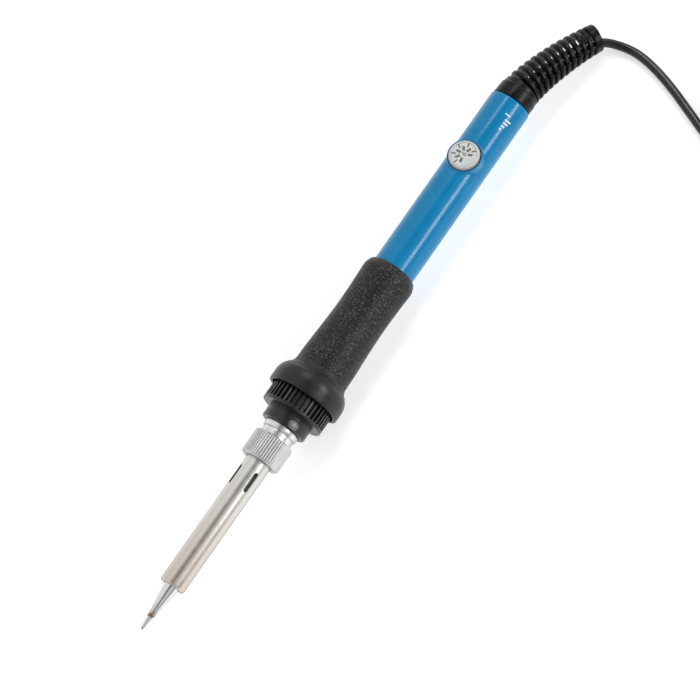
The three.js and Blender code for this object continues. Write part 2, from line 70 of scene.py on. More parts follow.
def half_width(node):
    """Half of a CAD node's size across, in mm."""
    return (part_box(node)[1].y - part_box(node)[0].y) / 2 / MM


BARREL_FRONT = front("barrel_tube")
NUT_FRONT, NUT_REAR = front("barrel_nut"), rear("barrel_nut")
COLLAR_FRONT = front("collar")
SKIRT_FRONT, GRIP_REAR = front("grip_sleeve"), rear("grip_sleeve")
TUBE_REAR = rear("handle_tube")
DIAL_X = (front("temperature_dial") + rear("temperature_dial")) / 2
DIAL_TOP = (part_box("temperature_dial")[1].z - AXIS_Z) / MM
TIP_LENGTH = rear("soldering_tip")
NUT_R = half_width("barrel_nut")
SKIRT_R = half_width("grip_sleeve")
TUBE_R = half_width("handle_tube")
DIAL_R = half_width("temperature_dial")

# Sizes that the frame's boxes don't give, in mm
BARREL_R = 4.25
NECK_R = 7.6
RING_FRONT = 80.2
RING_REAR = 88.0
RING_R = 10.5
SKIRT_BORE_R = 11.15
BUMP_X = 76.9
BUMP_TURN = math.radians(38.5)
CORD_R = 1.5

# Geometry


def placed(name, data):
    """A new object in the scene."""
    made = bpy.data.objects.new(name, data)
    bpy.context.scene.collection.objects.link(made)
    return made


def on_iron(points):
    """Places on the iron, in mm, as places in the row frame, in metres."""
    return np.asarray(points, float) * MM + np.array([TIP_END, 0, AXIS_Z])


def in_row(points):
    """Places in the row frame, from mm to metres."""
    return np.asarray(points, float) * MM


def grid_faces(rows, columns, wrap_rows):
    """Quads between closed rows of points, with end caps unless the rows wrap."""
    last = rows if wrap_rows else rows - 1
    faces = [
        (
            i * columns + j,
            i * columns + (j + 1) % columns,
            (i + 1) % rows * columns + (j + 1) % columns,
            (i + 1) % rows * columns + j,
        )
        for i in range(last)
        for j in range(columns)
    ]
    if not wrap_rows:
        faces.append(tuple(range(columns)))
        faces.append(tuple(range((rows - 1) * columns, rows * columns)))
    return faces


def mesh_object(name, points, faces, crease=32):
    """A closed mesh, in metres, with its faces out and edges sharp past the crease angle."""
    mesh = bpy.data.meshes.new(name)
    mesh.from_pydata([tuple(p) for p in points], [], faces)
    cleaned(mesh, crease)
    return placed(name, mesh)


def cleaned(mesh, crease):
    work = bmesh.new()
    work.from_mesh(mesh)
    bmesh.ops.remove_doubles(work, verts=work.verts, dist=2e-7)
    bmesh.ops.recalc_face_normals(work, faces=work.faces)
    work.to_mesh(mesh)
    work.free()
    mesh.shade_smooth()
    mesh.set_sharp_from_angle(angle=math.radians(crease))


def dress(piece, material, body, slot, *nodes):
    """Gives a piece its material, its body and the CAD nodes that it stands for. The slot is not
    used.
    """
    piece.data.materials.clear()
    piece.data.materials.append(material)
    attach(piece, body)
    if nodes:
        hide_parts(*nodes)
    return piece


def rounded(corners, closed=True, steps=5):
    """An outline of (along, radius, fillet) corners, with an arc where there is a fillet."""
    outline = []
    count = len(corners)
    for i, (x, r, fillet) in enumerate(corners):
        here = np.array([x, r], float)
        if fillet == 0 or (not closed and i in (0, count - 1)):
            outline.append(here)
            continue
        before = np.array(corners[i - 1][:2], float) - here
        after = np.array(corners[(i + 1) % count][:2], float) - here
        reach = min(fillet, 0.49 * np.linalg.norm(before), 0.49 * np.linalg.norm(after))
        start = here + before / np.linalg.norm(before) * reach
        end = here + after / np.linalg.norm(after) * reach
        for t in np.linspace(0, 1, steps):
            outline.append((1 - t) ** 2 * start + 2 * t * (1 - t) * here + t**2 * end)
    return np.array(outline)


def even_turns(sides):
    return np.arange(sides) / sides * 2 * math.pi


def revolved(outline, turns, shape=None):
    """The points of a turned profile of (place, radius): their places, radii and turns."""
    places, radii = np.asarray(outline, float).T
    place, r = np.repeat(places, len(turns)), np.repeat(radii, len(turns))
    turn = np.tile(turns, len(outline))
    return place, r if shape is None else shape(place, r, turn), turn


def turned(name, outline, turns=None, shape=None, crease=32):
    """A profile of (x, radius) turned about the iron's axis. Its radius may be changed by shape."""
    turns = even_turns(128) if turns is None else turns
    x, r, turn = revolved(outline, turns, shape)
    points = on_iron(np.stack([x, -r * np.sin(turn), r * np.cos(turn)], axis=1))
    faces = grid_faces(len(outline), len(turns), outline[0][1] > 0)
    return mesh_object(name, points, faces, crease)


def upright(name, outline, centre, turns=None, shape=None, crease=32):
    """A profile of (height, radius) turned about a vertical axis through a place on the iron."""
    turns = even_turns(128) if turns is None else turns
    height, r, turn = revolved(outline, turns, shape)
    points = on_iron(
        np.stack([centre[0] + r * np.cos(turn), centre[1] + r * np.sin(turn), height], axis=1))
    faces = grid_faces(len(outline), len(turns), outline[0][1] > 0)
    return mesh_object(name, points, faces, crease)


def lofted(name, sections, crease=32, place=on_iron):
    """A solid through closed rings of points, one ring after another, with its ends closed."""
    faces = grid_faces(len(sections), len(sections[0]), False)
    return mesh_object(name, place(np.vstack(sections)), faces, crease)


def ribbing(ribs, outline, phase=0.0):
    """The turns that a ribbed round needs, and its depth at a turn, from a rib's (share, depth)."""
    shares = np.array([share for share, _ in outline])
    depths = np.array([depth for _, depth in outline])
    turns = (np.arange(ribs)[:, None] + shares).ravel() / ribs * 2 * math.pi + phase

    def depth(turn):
        share = ((turn - phase) / (2 * math.pi) * ribs) % 1
        return np.interp(share, shares, depths, period=1)

    return turns, depth


def smooth_step(value):
    value = np.clip(value, 0, 1)
    return value * value * (3 - 2 * value)


def smooth_max(a, b, width):
    near = np.clip(width - np.abs(a - b), 0, None) / width
    return np.maximum(a, b) + near * near * width / 4


def cut(piece, cutter, crease=32):
    """Takes the cutter out of a piece, and removes the cutter."""
    modifier = piece.modifiers.new("cut", "BOOLEAN")
    modifier.operation = "DIFFERENCE"
    modifier.solver = "EXACT"
    modifier.object = cutter
    graph = bpy.context.evaluated_depsgraph_get()
    mesh = bpy.data.meshes.new_from_object(piece.evaluated_get(graph))
    piece.modifiers.clear()
    piece.data = mesh
    bpy.data.objects.remove(cutter)
    cleaned(mesh, crease)


def joined(name, pieces):
    """Several mesh objects as one."""
    work = bmesh.new()
    for piece in pieces:
        work.from_mesh(piece.data)
        bpy.data.objects.remove(piece)
    mesh = bpy.data.meshes.new(name)
    work.to_mesh(mesh)
    work.free()
    mesh.shade_smooth()
    mesh.set_sharp_from_angle(angle=math.radians(32))
    return placed(name, mesh)


def smooth_route(points, step):
    """A smooth curve through given points, with points about step apart."""
    points = np.asarray(points, float)
    ends = np.vstack([2 * points[0] - points[1], points, 2 * points[-1] - points[-2]])
    curve = [points[0]]
    for a, b, c, d in zip(ends, ends[1:], ends[2:], ends[3:]):
        pieces = max(2, math.ceil(np.linalg.norm(c - b) / step))
        for t in np.arange(1, pieces + 1) / pieces:
            curve.append(
                (2 * b + (c - a) * t + (2 * a - 5 * b + 4 * c - d) * t**2
                 + (3 * b - a - 3 * c + d) * t**3) / 2
            )
    return np.array(curve)


def frames_along(curve):
    """At each point of a curve: its direction, a sideways direction and an upward one."""
    ahead = np.gradient(curve, axis=0)
    ahead /= np.linalg.norm(ahead, axis=1)[:, None]
    up = np.array([0, 0, 1.0]) - ahead * ahead[:, 2:3]
    up /= np.linalg.norm(up, axis=1)[:, None]
    return ahead, np.cross(up, ahead), up


# Materials


class Nodes:
    """A node tree, and the few node chains that everything here is made of."""

    def __init__(self, tree):
        self.tree = tree

    def node(self, kind, **inputs):
        made = self.tree.nodes.new(kind)
        for socket, value in inputs.items():
            self.link(value, made.inputs[socket.replace("_", " ")])
        return made

    def link(self, value, socket):
        if isinstance(value, bpy.types.NodeSocket):
            self.tree.links.new(value, socket)
        else:
            socket.default_value = value

    def ranged(self, value, low, high, to_low=0.0, to_high=1.0):
        made = self.node("ShaderNodeMapRange", Value=value, From_Min=low, From_Max=high,
                         To_Min=to_low, To_Max=to_high)
        return made.outputs["Result"]

    def math(self, operation, a, b=0.0):
        made = self.tree.nodes.new("ShaderNodeMath")
        made.operation = operation
        self.link(a, made.inputs[0])
        self.link(b, made.inputs[1])
        return made.outputs[0]

    def mixed(self, share, color_a, color_b):
        made = self.tree.nodes.new("ShaderNodeMix")
        made.data_type = "RGBA"
        self.link(share, made.inputs[0])
        for socket, color in ((made.inputs[6], color_a), (made.inputs[7], color_b)):
            self.link(color if isinstance(color, bpy.types.NodeSocket) else (*color, 1), socket)
        return made.outputs[2]

    def ramp(self, value, stops):
        """A colour for each (place, colour) stop, with the place from 0 to 1."""
        made = self.node("ShaderNodeValToRGB", Fac=value)
        elements = made.color_ramp.elements
        while len(elements) < len(stops):
            elements.new(0.5)
        for element, (place, color) in zip(elements, stops):
            element.position = place
            element.color = (*color, 1)
        return made.outputs["Color"]


class Look(Nodes):
    """A Principled material, with the patterns that the finishes here are made of."""

    def __init__(self, name, color, roughness, metallic=0.0, **sockets):
        self.material = bpy.data.materials.new(name)
        self.material.use_nodes = True
        super().__init__(self.material.node_tree)
        self.shader = self.tree.nodes["Principled BSDF"]
        self.set("Base Color", (*color, 1))
        self.set("Roughness", roughness)
        self.set("Metallic", metallic)
        for socket, value in sockets.items():
            self.set(socket.replace("_", " "), value)
        self.place = self.node("ShaderNodeTexCoord").outputs["Object"]

    def set(self, socket, value):
        self.shader.inputs[socket].default_value = value

    def stretched(self, x, y, z):
        """Object coordinates scaled along each axis."""
        mapping = self.node("ShaderNodeMapping", Vector=self.place)
        mapping.inputs["Scale"].default_value = (x, y, z)
        return mapping.outputs["Vector"]

    def noise(self, per_mm, detail=3.0, place=None):
        made = self.node("ShaderNodeTexNoise", Vector=place or self.place,
                         Scale=per_mm / MM, Detail=detail)
        return made.outputs["Fac"]

    def cells(self, per_mm, feature="F1"):
        made = self.node("ShaderNodeTexVoronoi", Vector=self.place, Scale=per_mm / MM)
        made.feature = feature
        return made.outputs["Distance"]

    def along(self):
        """Millimetres from the tip's end, at rest."""
        split = self.node("ShaderNodeSeparateXYZ", Vector=self.place)
        return self.math("DIVIDE", self.math("SUBTRACT", split.outputs["X"], TIP_END), MM)

    def off_axis(self):
        """Millimetres from the iron's axis, at rest."""
        split = self.node("ShaderNodeSeparateXYZ", Vector=self.place)
        up = self.math("SUBTRACT", split.outputs["Z"], AXIS_Z)
        squares = self.math("ADD", self.math("MULTIPLY", up, up),
                            self.math("MULTIPLY", split.outputs["Y"], split.outputs["Y"]))
        return self.math("DIVIDE", self.math("SQRT", squares), MM)

    def color(self, socket):
        self.link(socket, self.shader.inputs["Base Color"])

    def roughness(self, socket):
        self.link(socket, self.shader.inputs["Roughness"])

    def patched(self, pattern, low, high, color_a, color_b):
        """A base colour that goes over to another as a pattern goes from low to high."""
        self.color(self.mixed(self.ranged(pattern, low, high), color_a, color_b))

    def worn(self, pattern, smooth, rough, low=0.3, high=0.7):
        """A roughness that follows a pattern."""
        self.roughness(self.ranged(pattern, low, high, smooth, rough))

    def bump(self, height, depth_mm, strength=1.0):
        """Fine relief that deep, from a height of 0 to 1, on top of any relief before it."""
        made = self.node("ShaderNodeBump", Height=height, Distance=depth_mm * MM,
                         Strength=strength)
        before = self.shader.inputs["Normal"].links
        if before:
            self.link(before[0].from_socket, made.inputs["Normal"])
        self.link(made.outputs["Normal"], self.shader.inputs["Normal"])


def gray(level):
    return (level, level, level)


EDGE_TINT = (0.6, 0.59, 0.58, 1)     # bare metal here reflects less than a mirror at its edges


SCALE_AND_SHADE = (0.015, 0.014, 0.013)        # steel blackened by heat inside the barrel, darkened further as painted shade where it shows through the slots


def tip_plating():
    """Bright plating, a tinned end, a burnt flux ring between them and a brown heat tint."""
    look = Look("tip_plating", gray(0.74), 0.14, 1.0, Specular_Tint=EDGE_TINT)
    ragged = look.math("MULTIPLY", look.math("SUBTRACT", look.noise(1.1, 4), 0.5), 2.6)
    along = look.math("ADD", look.along(), ragged)
    share = look.math("DIVIDE", along, 16.0)
    tin, ring, tint, plate = gray(0.72), (0.24, 0.16, 0.11), (0.5, 0.42, 0.36), gray(0.74)
    shown = look.ramp(share, [
        (0.0, gray(0.45)), (0.03, tin), (0.27, tin), (0.295, ring), (0.325, ring),
        (0.345, tint), (0.42, gray(0.66)), (0.6, plate),
    ])
    # The shank inside the barrel takes the heat-blackened colour, which is partly painted shade.
    hidden = look.math("GREATER_THAN", look.along(), TIP_SHOULDER)
    look.color(look.mixed(hidden, shown, SCALE_AND_SHADE))
    look.roughness(look.ramp(share, [
        (0.0, gray(0.4)), (0.26, gray(0.3)), (0.29, gray(0.55)), (0.33, gray(0.4)),
        (0.36, gray(0.16)), (1.0, gray(0.14)),
    ]))
    look.bump(look.noise(2.2, 4), 0.02)
    return look.material


def barrel_steel():
    """Satin stainless steel, straw-tinted by heat towards the front, with fine turning marks."""
    look = Look("barrel_steel", (0.7, 0.68, 0.65), 0.3, 1.0, Specular_Tint=EDGE_TINT)
    share = look.ranged(look.along(), BARREL_FRONT, NUT_FRONT)
    tint = look.ramp(share, [(0.0, (0.64, 0.56, 0.5)), (0.45, (0.67, 0.63, 0.585)),
                             (1.0, (0.69, 0.68, 0.66))])
    streaks = look.noise(1.0, 3, look.stretched(4, 0.6, 0.6))
    outside = look.mixed(look.ranged(streaks, 0.35, 0.65, 0.0, 0.08), tint, (0.5, 0.47, 0.44))
    # Inside the bore the steel is heat-blackened and darkened further as painted shade, so the
    # slots look dark.
    past_lip = look.math("GREATER_THAN", look.along(), BARREL_FRONT + 2)
    inside = look.math("MULTIPLY", look.math("LESS_THAN", look.off_axis(), 4.0), past_lip)
    look.color(look.mixed(inside, outside, SCALE_AND_SHADE))
    look.worn(look.noise(0.5, 2), 0.27, 0.34)
    look.bump(look.noise(1.0, 2, look.stretched(14, 0.5, 0.5)), 0.004)
    return look.material


def nickel(name="nickel", roughness=0.22, shade=1.0):
    look = Look(name, (0.76, 0.75, 0.73), roughness, 1.0, Specular_Tint=EDGE_TINT)
    # A shade below 1 gives a darker copy of the nickel: painted shade, used on the nut.
    clean, dull = gray(0.76 * shade), (0.7 * shade, 0.685 * shade, 0.67 * shade)
    smudge = look.noise(0.6, 3)
    look.patched(smudge, 0.4, 0.7, clean, dull)
    look.worn(smudge, roughness, roughness + 0.1)
    look.bump(look.noise(5.0, 2), 0.002)
    return look.material


def collar_resin():
    """Semi-gloss moulded resin with a faint grain, handling wear and a painted highlight on the
    bump's top.
    """
    look = Look("collar_resin", gray(0.012), 0.3)
    worn = look.noise(0.45, 4)
    resin = look.mixed(look.ranged(worn, 0.4, 0.75), gray(0.006), (0.016, 0.015, 0.015))
    # A pale patch round the bump's top is a painted highlight, made a little uneven by the grain.
    top = on_iron([(BUMP_X, -(NECK_R + 0.7) * math.sin(BUMP_TURN),
                    (NECK_R + 0.7) * math.cos(BUMP_TURN))])[0]
    near = look.node("ShaderNodeVectorMath", Vector=look.place)
    near.operation = "DISTANCE"
    near.inputs[1].default_value = top
    painted_bump_highlight = look.ranged(near.outputs["Value"], 0.4 * MM, 2.2 * MM, 1, 0)
    look.color(look.mixed(look.math("MULTIPLY", painted_bump_highlight, look.ranged(worn, 0.3, 0.6, 0.6, 1)),
                          resin, gray(0.3)))
    look.worn(worn, 0.26, 0.38)
    look.bump(look.noise(6.0, 3), 0.01)
    return look.material


def grip_rubber():
    """Matte rubber with an eroded grain that catches the light, lighter specks on the sleeve that
    are partly painted glints, and smoother front skirt.
    """
    look = Look("grip_rubber", gray(0.02), 0.5, Specular_IOR_Level=0.34)
    sleeve = look.ranged(look.along(), SKIRT_FRONT + 6, SKIRT_FRONT + 10)
    lumps = look.noise(2.1, 3)
    speck = look.ranged(lumps, 0.55, 0.68)
    grain = look.math("MULTIPLY", speck, sleeve)
    # The sleeve's lighter specks are partly worn rubber and partly painted glints.
    grain_and_glints = look.mixed(grain, gray(0.003), (0.1, 0.098, 0.094))
    look.color(look.mixed(sleeve, gray(0.012), grain_and_glints))
    patch = look.ranged(look.noise(0.35, 3), 0.35, 0.65, 0.0, 0.1)
    look.roughness(look.math("ADD", patch, look.ranged(sleeve, 0, 1, 0.3, 0.42)))
    look.bump(look.math("MULTIPLY", lumps, look.ranged(sleeve, 0, 1, 0.2, 1)), 0.12)
    look.bump(look.noise(6.0, 2), 0.012)
    return look.material


def blue_plastic():
    """Glossy moulded plastic with slow waves in its surface and faint scuffs."""
    look = Look("blue_plastic", (0, 0.2, 0.43), 0.16, Specular_IOR_Level=0.3)
    slow = look.noise(0.12, 2)
    look.patched(slow, 0.3, 0.7, (0, 0.19, 0.41), (0.001, 0.21, 0.445))
    scuffs = look.noise(0.6, 3, look.stretched(0.25, 1, 1))
    look.worn(scuffs, 0.17, 0.21, 0.4, 0.7)
    look.bump(look.noise(0.35, 2), 0.02)
    return look.material


def grey_plastic():
    look = Look("grey_plastic", (0.6, 0.61, 0.6), 0.45)
    slow = look.noise(0.5, 3)
    face = look.mixed(look.ranged(slow, 0.35, 0.65), (0.57, 0.58, 0.575), (0.64, 0.65, 0.645))
    # Below the face, the serrated shoulder and the skirt are painted darker: painted shade on the
    # dial's side.
    height = look.node("ShaderNodeSeparateXYZ", Vector=look.place).outputs["Z"]
    low = AXIS_Z + (DIAL_TOP - 0.6) * MM
    look.color(look.mixed(look.ranged(height, low, low + 0.4 * MM, 1, 0), face, (0.4, 0.385, 0.37)))
    look.worn(slow, 0.38, 0.52)
    look.bump(look.noise(8.0, 3), 0.01)
    return look.material


def print_paint(name, color):
    """Pad-printed paint, a little uneven."""
    look = Look(name, color, 0.55)
    patch = look.ranged(look.noise(4.0, 3), 0.35, 0.75)
    look.color(look.mixed(patch, color, tuple(0.8 * c + 0.03 for c in color)))
    return look.material


def relief_rubber():
    look = Look("relief_rubber", gray(0.005), 0.3, Specular_IOR_Level=0.2)
    worn = look.noise(0.5, 4)
    look.patched(worn, 0.4, 0.75, gray(0.004), (0.01, 0.0095, 0.009))
    look.worn(worn, 0.24, 0.38)
    look.bump(look.noise(4.0, 3), 0.015)
    return look.material


def cord_rubber():
    """A smooth extruded jacket with faint drag lines."""
    look = Look("cord_rubber", gray(0.014), 0.2, Specular_IOR_Level=0.4)
    dust = look.noise(0.7, 4)
    look.patched(dust, 0.45, 0.8, (0.012, 0.011, 0.011), (0.026, 0.024, 0.023))
    look.worn(dust, 0.16, 0.26)
    look.bump(look.noise(3.0, 2), 0.008)
    return look.material


def black_plastic(name="black_plastic", grain=5.0):
    look = Look(name, gray(0.02), 0.42)
    worn = look.noise(0.4, 4)
    look.patched(worn, 0.4, 0.75, gray(0.016), (0.034, 0.033, 0.032))
    look.worn(worn, 0.36, 0.52)
    look.bump(look.noise(grain, 3), 0.02)
    return look.material


def brass():
    look = Look("brass", (0.78, 0.6, 0.3), 0.24, 1.0)
    tarnish = look.noise(0.5, 4)
    look.patched(tarnish, 0.4, 0.8, (0.8, 0.63, 0.33), (0.58, 0.42, 0.2))
    look.worn(tarnish, 0.18, 0.36)
    look.bump(look.noise(1.0, 2, look.stretched(8, 0.8, 1)), 0.006)
    return look.material


def ceramic():
    look = Look("ceramic", (0.85, 0.83, 0.78), 0.6)
    stain = look.noise(0.5, 4)
    look.patched(stain, 0.45, 0.8, (0.85, 0.83, 0.78), (0.6, 0.53, 0.44))
    look.bump(look.noise(6.0, 4), 0.02)
    return look.material


def board():
    """Solder mask over wandering copper tracks."""
    look = Look("board", (0.03, 0.14, 0.05), 0.35)
    tracks = look.ranged(look.cells(0.45, "DISTANCE_TO_EDGE"), 0.03, 0.08)
    look.color(look.mixed(tracks, (0.08, 0.26, 0.08), (0.02, 0.12, 0.04)))
    look.bump(tracks, 0.03)
    return look.material


def red_plastic():
    look = Look("red_plastic", (0.4, 0.04, 0.02), 0.25, Coat_Weight=0.4)
    dip = look.noise(0.35, 3)
    look.patched(dip, 0.35, 0.65, (0.36, 0.035, 0.018), (0.46, 0.055, 0.025))
    look.bump(dip, 0.15)
    return look.material


def copper():
    look = Look("copper", (0.7, 0.35, 0.18), 0.3, 1.0)
    dull = look.noise(1.5, 3)
    look.patched(dull, 0.4, 0.7, (0.8, 0.42, 0.24), (0.5, 0.24, 0.13))
    look.bump(look.noise(2.0, 2, look.stretched(0.3, 4, 4)), 0.05)
    return look.material


def glass_fibre():
    """A braided sleeve."""
    look = Look("glass_fibre", (0.82, 0.79, 0.68), 0.85)
    braid = look.node("ShaderNodeTexWave", Vector=look.stretched(1, 1, 1), Scale=1.2 / MM,
                      Distortion=1.5)
    braid.bands_direction = "DIAGONAL"
    height = braid.outputs["Fac"]
    look.color(look.mixed(height, (0.66, 0.62, 0.5), (0.88, 0.85, 0.74)))
    look.bump(height, 0.1)
    return look.material


def resistor_body(name, bands):
    """A dipped body with colour bands round it, each a (mm from the tip, colour)."""
    look = Look(name, (0.6, 0.47, 0.28), 0.35)
    along = look.along()
    tone = look.mixed(look.noise(1.5, 3), (0.62, 0.5, 0.32), (0.54, 0.42, 0.25))
    for place, color in bands:
        away = look.math("ABSOLUTE", look.math("SUBTRACT", along, place))
        band = look.math("LESS_THAN", away, 0.3)
        tone = look.mixed(band, tone, color)
    look.color(tone)
    look.bump(look.noise(2.0, 2), 0.03)
    return look.material


def pale_floor():
    look = Look("pale_floor", gray(0.8), 0.8, Emission_Color=(1, 1, 1, 1), Emission_Strength=0.47)
    look.color(look.mixed(look.noise(0.02, 2), gray(0.79), gray(0.82)))
    return look.material


# Camera, light and floor

CAMERA_DISTANCE = 1.1
LENS_MM = 183.3
AIM = (107.63, -3.28, -0.16)         # what the camera looks at, in mm on the iron
LOOK_BACK = math.radians(12.5)       # how far the camera stands towards the tip
LOOK_SIDE = math.radians(21.2)       # and round the iron from +Z towards -Y
IRON_SLOPE = math.radians(54.95)     # how steeply the iron rises in the picture


def make_camera():
    away = Vector((
        -math.sin(LOOK_BACK),
        -math.cos(LOOK_BACK) * math.sin(LOOK_SIDE),
        math.cos(LOOK_BACK) * math.cos(LOOK_SIDE),
    ))
    along = Vector((1, 0, 0))
    along = (along - away * along.dot(away)).normalized()
    right = Matrix.Rotation(-IRON_SLOPE, 3, away) @ along
    upward = away.cross(right)
    camera = placed("camera", bpy.data.cameras.new("camera"))
    camera.data.lens = LENS_MM
    camera.data.clip_start = 0.05
    turn = Matrix((right, upward, away)).transposed()
    camera.matrix_world = Matrix.Translation(
        Vector(on_iron([AIM])[0]) + away * CAMERA_DISTANCE) @ turn.to_4x4()
    bpy.context.scene.camera = camera


def lamp(name, place, away, lengthwise, length, width, watts):
    """A flat area lamp at a place, lit side against away, its length along lengthwise."""
    light = bpy.data.lights.new(name, "AREA")
    light.shape = "RECTANGLE"
    light.size, light.size_y = length, width
    light.energy = watts
    lengthwise = (lengthwise - away * lengthwise.dot(away)).normalized()
    basis = Matrix((lengthwise, away.cross(lengthwise), away)).transposed()
    placed(name, light).matrix_world = Matrix.Translation(place) @ basis.to_4x4()


def strip_light():
    """A long lamp beside the handle, which draws the bright line along the blue tube."""
    turn, distance = math.radians(56), 1.3
    x_from, x_to = 0.285, 1.2
    away = Vector((0, -math.sin(turn), math.cos(turn)))
    place = Vector(((x_from + x_to) / 2, 0, AXIS_Z)) + away * distance
    lamp("strip", place, away, Vector((1, 0, 0)), x_to - x_from, 0.35, 10)


def side_light():
    """A lamp behind the handle's end, which draws a bright line along the cord."""
    away, distance = Vector((0.5, 0.2, 0.8)).normalized(), 1.3
    place = Vector((0.13, -0.02, 0)) + away * distance
    lamp("side", place, away, Vector((-0.42, 0.15, 0.31)), 0.7, 0.16, 3.2)


# The tent's light: (turn about the iron's axis in degrees, brightness)
TENT = [
    (-90, 0.95), (-60, 0.86), (-42, 0.9), (-26, 1.0), (-18, 0.85), (-5, 0.42), (6, 0.14),
    (14, 0.2), (26, 0.66), (42, 0.72), (58, 0.5), (74, 0.46), (90, 0.52),
]


def make_light():
    """A light tent: pale all round, dimmer in the strip above the iron where the camera stands."""
    world = bpy.data.worlds.new("studio")
    bpy.context.scene.world = world
    world.use_nodes = True
    nodes = Nodes(world.node_tree)
    toward = nodes.node("ShaderNodeTexCoord").outputs["Generated"]
    split = nodes.node("ShaderNodeSeparateXYZ", Vector=toward)
    turn = nodes.math("ARCTAN2", nodes.math("MULTIPLY", split.outputs["Y"], -1.0),
                      split.outputs["Z"])
    share = nodes.ranged(turn, -math.pi / 2, math.pi / 2)
    level = nodes.ramp(share, [((degrees + 90) / 180, gray(bright)) for degrees, bright in TENT])
    background = nodes.tree.nodes["Background"]
    nodes.link(level, background.inputs["Color"])
    background.inputs["Strength"].default_value = 1.0
    strip_light()
    side_light()


def make_floor():
    half = 3.0
    corners = [(-half, -half, 0), (half, -half, 0), (half, half, 0), (-half, half, 0)]
    mesh = bpy.data.meshes.new("floor")
    mesh.from_pydata(corners, [], [(0, 1, 2, 3)])
    mesh.materials.append(pale_floor())
    placed("floor", mesh)


# The cord, its tie and its plug

RELIEF_HANDLES = [(TUBE_REAR, 0, 0), (214.6, 0, 0), (233.5, -5.8, -6.3), (238.3, -8.2, -7.45)]
CORD_START = 209.5
CORD_LEAN = np.array((-0.96, -1.65, -0.58))     # how far off the middle it leaves the relief
LEAN_FROM = 222.0
# The route on the surface, in the row frame, in metres
CORD_ROUTE = [
    (0.1365, -0.0108, 0.0039), (0.1371, -0.0117, 0.0036), (0.1377, -0.0129, 0.00325),
    (0.1383, -0.0147, 0.0028), (0.1389, -0.0171, 0.0023), (0.1392, -0.0197, 0.00195),
    (0.1391, -0.0224, 0.0017), (0.1385, -0.0259, 0.00158), (0.1373, -0.0301, 0.00155),
    (0.1357, -0.0346, 0.00155), (0.1337, -0.0394, 0.00155), (0.1314, -0.0443, 0.00155),
    (0.1294, -0.0486, 0.00155), (0.1275, -0.0526, 0.00155), (0.1256, -0.0571, 0.00155),
]
INTO_COIL = [(0.1238, -0.0629, 0.00155), (0.1228, -0.0688, 0.00155)]
COIL_CENTRE = (0.1417, -0.074)
COIL_RADII = (0.01908, 0.016, 0.01292)
LAYER_HEIGHTS = (0.00155, 0.0046, 0.00765, 0.0107)
LAST_LAYER_TURNS = 2.5
TAIL_ROUTE = [
    (0.1607, -0.0613, 0.0092), (0.1607, -0.056, 0.0074), (0.1608, -0.05, 0.0052),
    (0.1626, -0.0436, 0.0032), (0.1666, -0.0395, 0.0022), (0.1727, -0.0379, 0.0018),
    (0.1788, -0.0395, 0.0023), (0.1828, -0.0436, 0.0038), (0.1846, -0.0485, 0.0057),
    (0.1847, -0.0516, 0.0065),
]


def relief_line(count=240):
    """The bent middle line of the strain relief, in mm on the iron."""
    a, b, c, d = (np.array(p, float) for p in RELIEF_HANDLES)
    t = np.linspace(0, 1, count)[:, None]
    return (1 - t) ** 3 * a + 3 * (1 - t) ** 2 * t * b + 3 * (1 - t) * t**2 * c + t**3 * d


def coil_turns():
    """The wound turns, in metres: three beside each other in a layer, and layer on layer."""
    points = []
    per_turn = 40
    for layer, height in enumerate(LAYER_HEIGHTS):
        radii = COIL_RADII if layer % 2 == 0 else COIL_RADII[::-1]
        last = layer == len(LAYER_HEIGHTS) - 1
        turns = LAST_LAYER_TURNS if last else len(radii)
        next_height = height if last else LAYER_HEIGHTS[layer + 1]
        for step in range(int(turns * per_turn)):
            turn = step / per_turn
            index = int(turn)
            change = smooth_step((turn % 1 - 0.75) / 0.25)
            target = radii[min(index + 1, len(radii) - 1)]
            radius = radii[index] + (target - radii[index]) * change
            climb = change if index == len(radii) - 1 else 0
            z = height + (next_height - height) * climb
            angle = math.pi + 2 * math.pi * turn
            points.append((COIL_CENTRE[0] + radius * math.cos(angle),
                           COIL_CENTRE[1] + radius * math.sin(angle), z))
    return points


def cord_inside(count=40):
    """The cord's way through the relief, which leans over to the open end's lower side."""
    relief = relief_line(count)
    share = np.clip((relief[:, :1] - LEAN_FROM) / (relief[-1, 0] - LEAN_FROM), 0, 1)
    return (relief + share**2 * CORD_LEAN)[relief[:, 0] > CORD_START]


def cord_line():
    inside = on_iron(cord_inside()[::5])
    lead = smooth_route([*inside, *CORD_ROUTE, *INTO_COIL, coil_turns()[0]], 0.0008)
    last = coil_turns()[-1]
    tail = smooth_route([last, *TAIL_ROUTE], 0.0008)
    return np.vstack([lead[:-1], coil_turns()[:-1], tail])


def length_of(line):
    return float(np.linalg.norm(np.diff(line, axis=0), axis=1).sum())


def curve_object(name, line, radius, sides=4):
    """A round cord along a line, as one open spline."""
    curve = bpy.data.curves.new(name, "CURVE")
    curve.dimensions = "3D"
    curve.bevel_depth = radius
    curve.bevel_resolution = sides
    curve.use_fill_caps = True
    spline = curve.splines.new("POLY")
    spline.points.add(len(line) - 1)
    spline.points.foreach_set("co", np.hstack([line, np.ones((len(line), 1))]).ravel())
    return placed(name, curve)


def make_cord(with_pieces):
    line = cord_line()
    cord = curve_object("mains_cord", line, CORD_R * MM)
    dress(cord, cord_rubber(), "handle", "cord_rubber", "cord_run", "cord_coil", "cord_tail")


def make_lead_in():
    """The cord's first stretch, from the crimp to inside the strain relief."""
    relief = relief_line(60)
    start = front("cord_lead_in")
    straight = [(x, 0, 0) for x in np.linspace(start, TUBE_REAR - 1, 8)]
    line = on_iron([*straight, *relief[relief[:, 0] < CORD_START + 0.4]])
    lead = curve_object("cord_lead", line, CORD_R * MM)
    return dress(lead, cord_rubber(), "handle", "cord_rubber", "cord_lead_in")


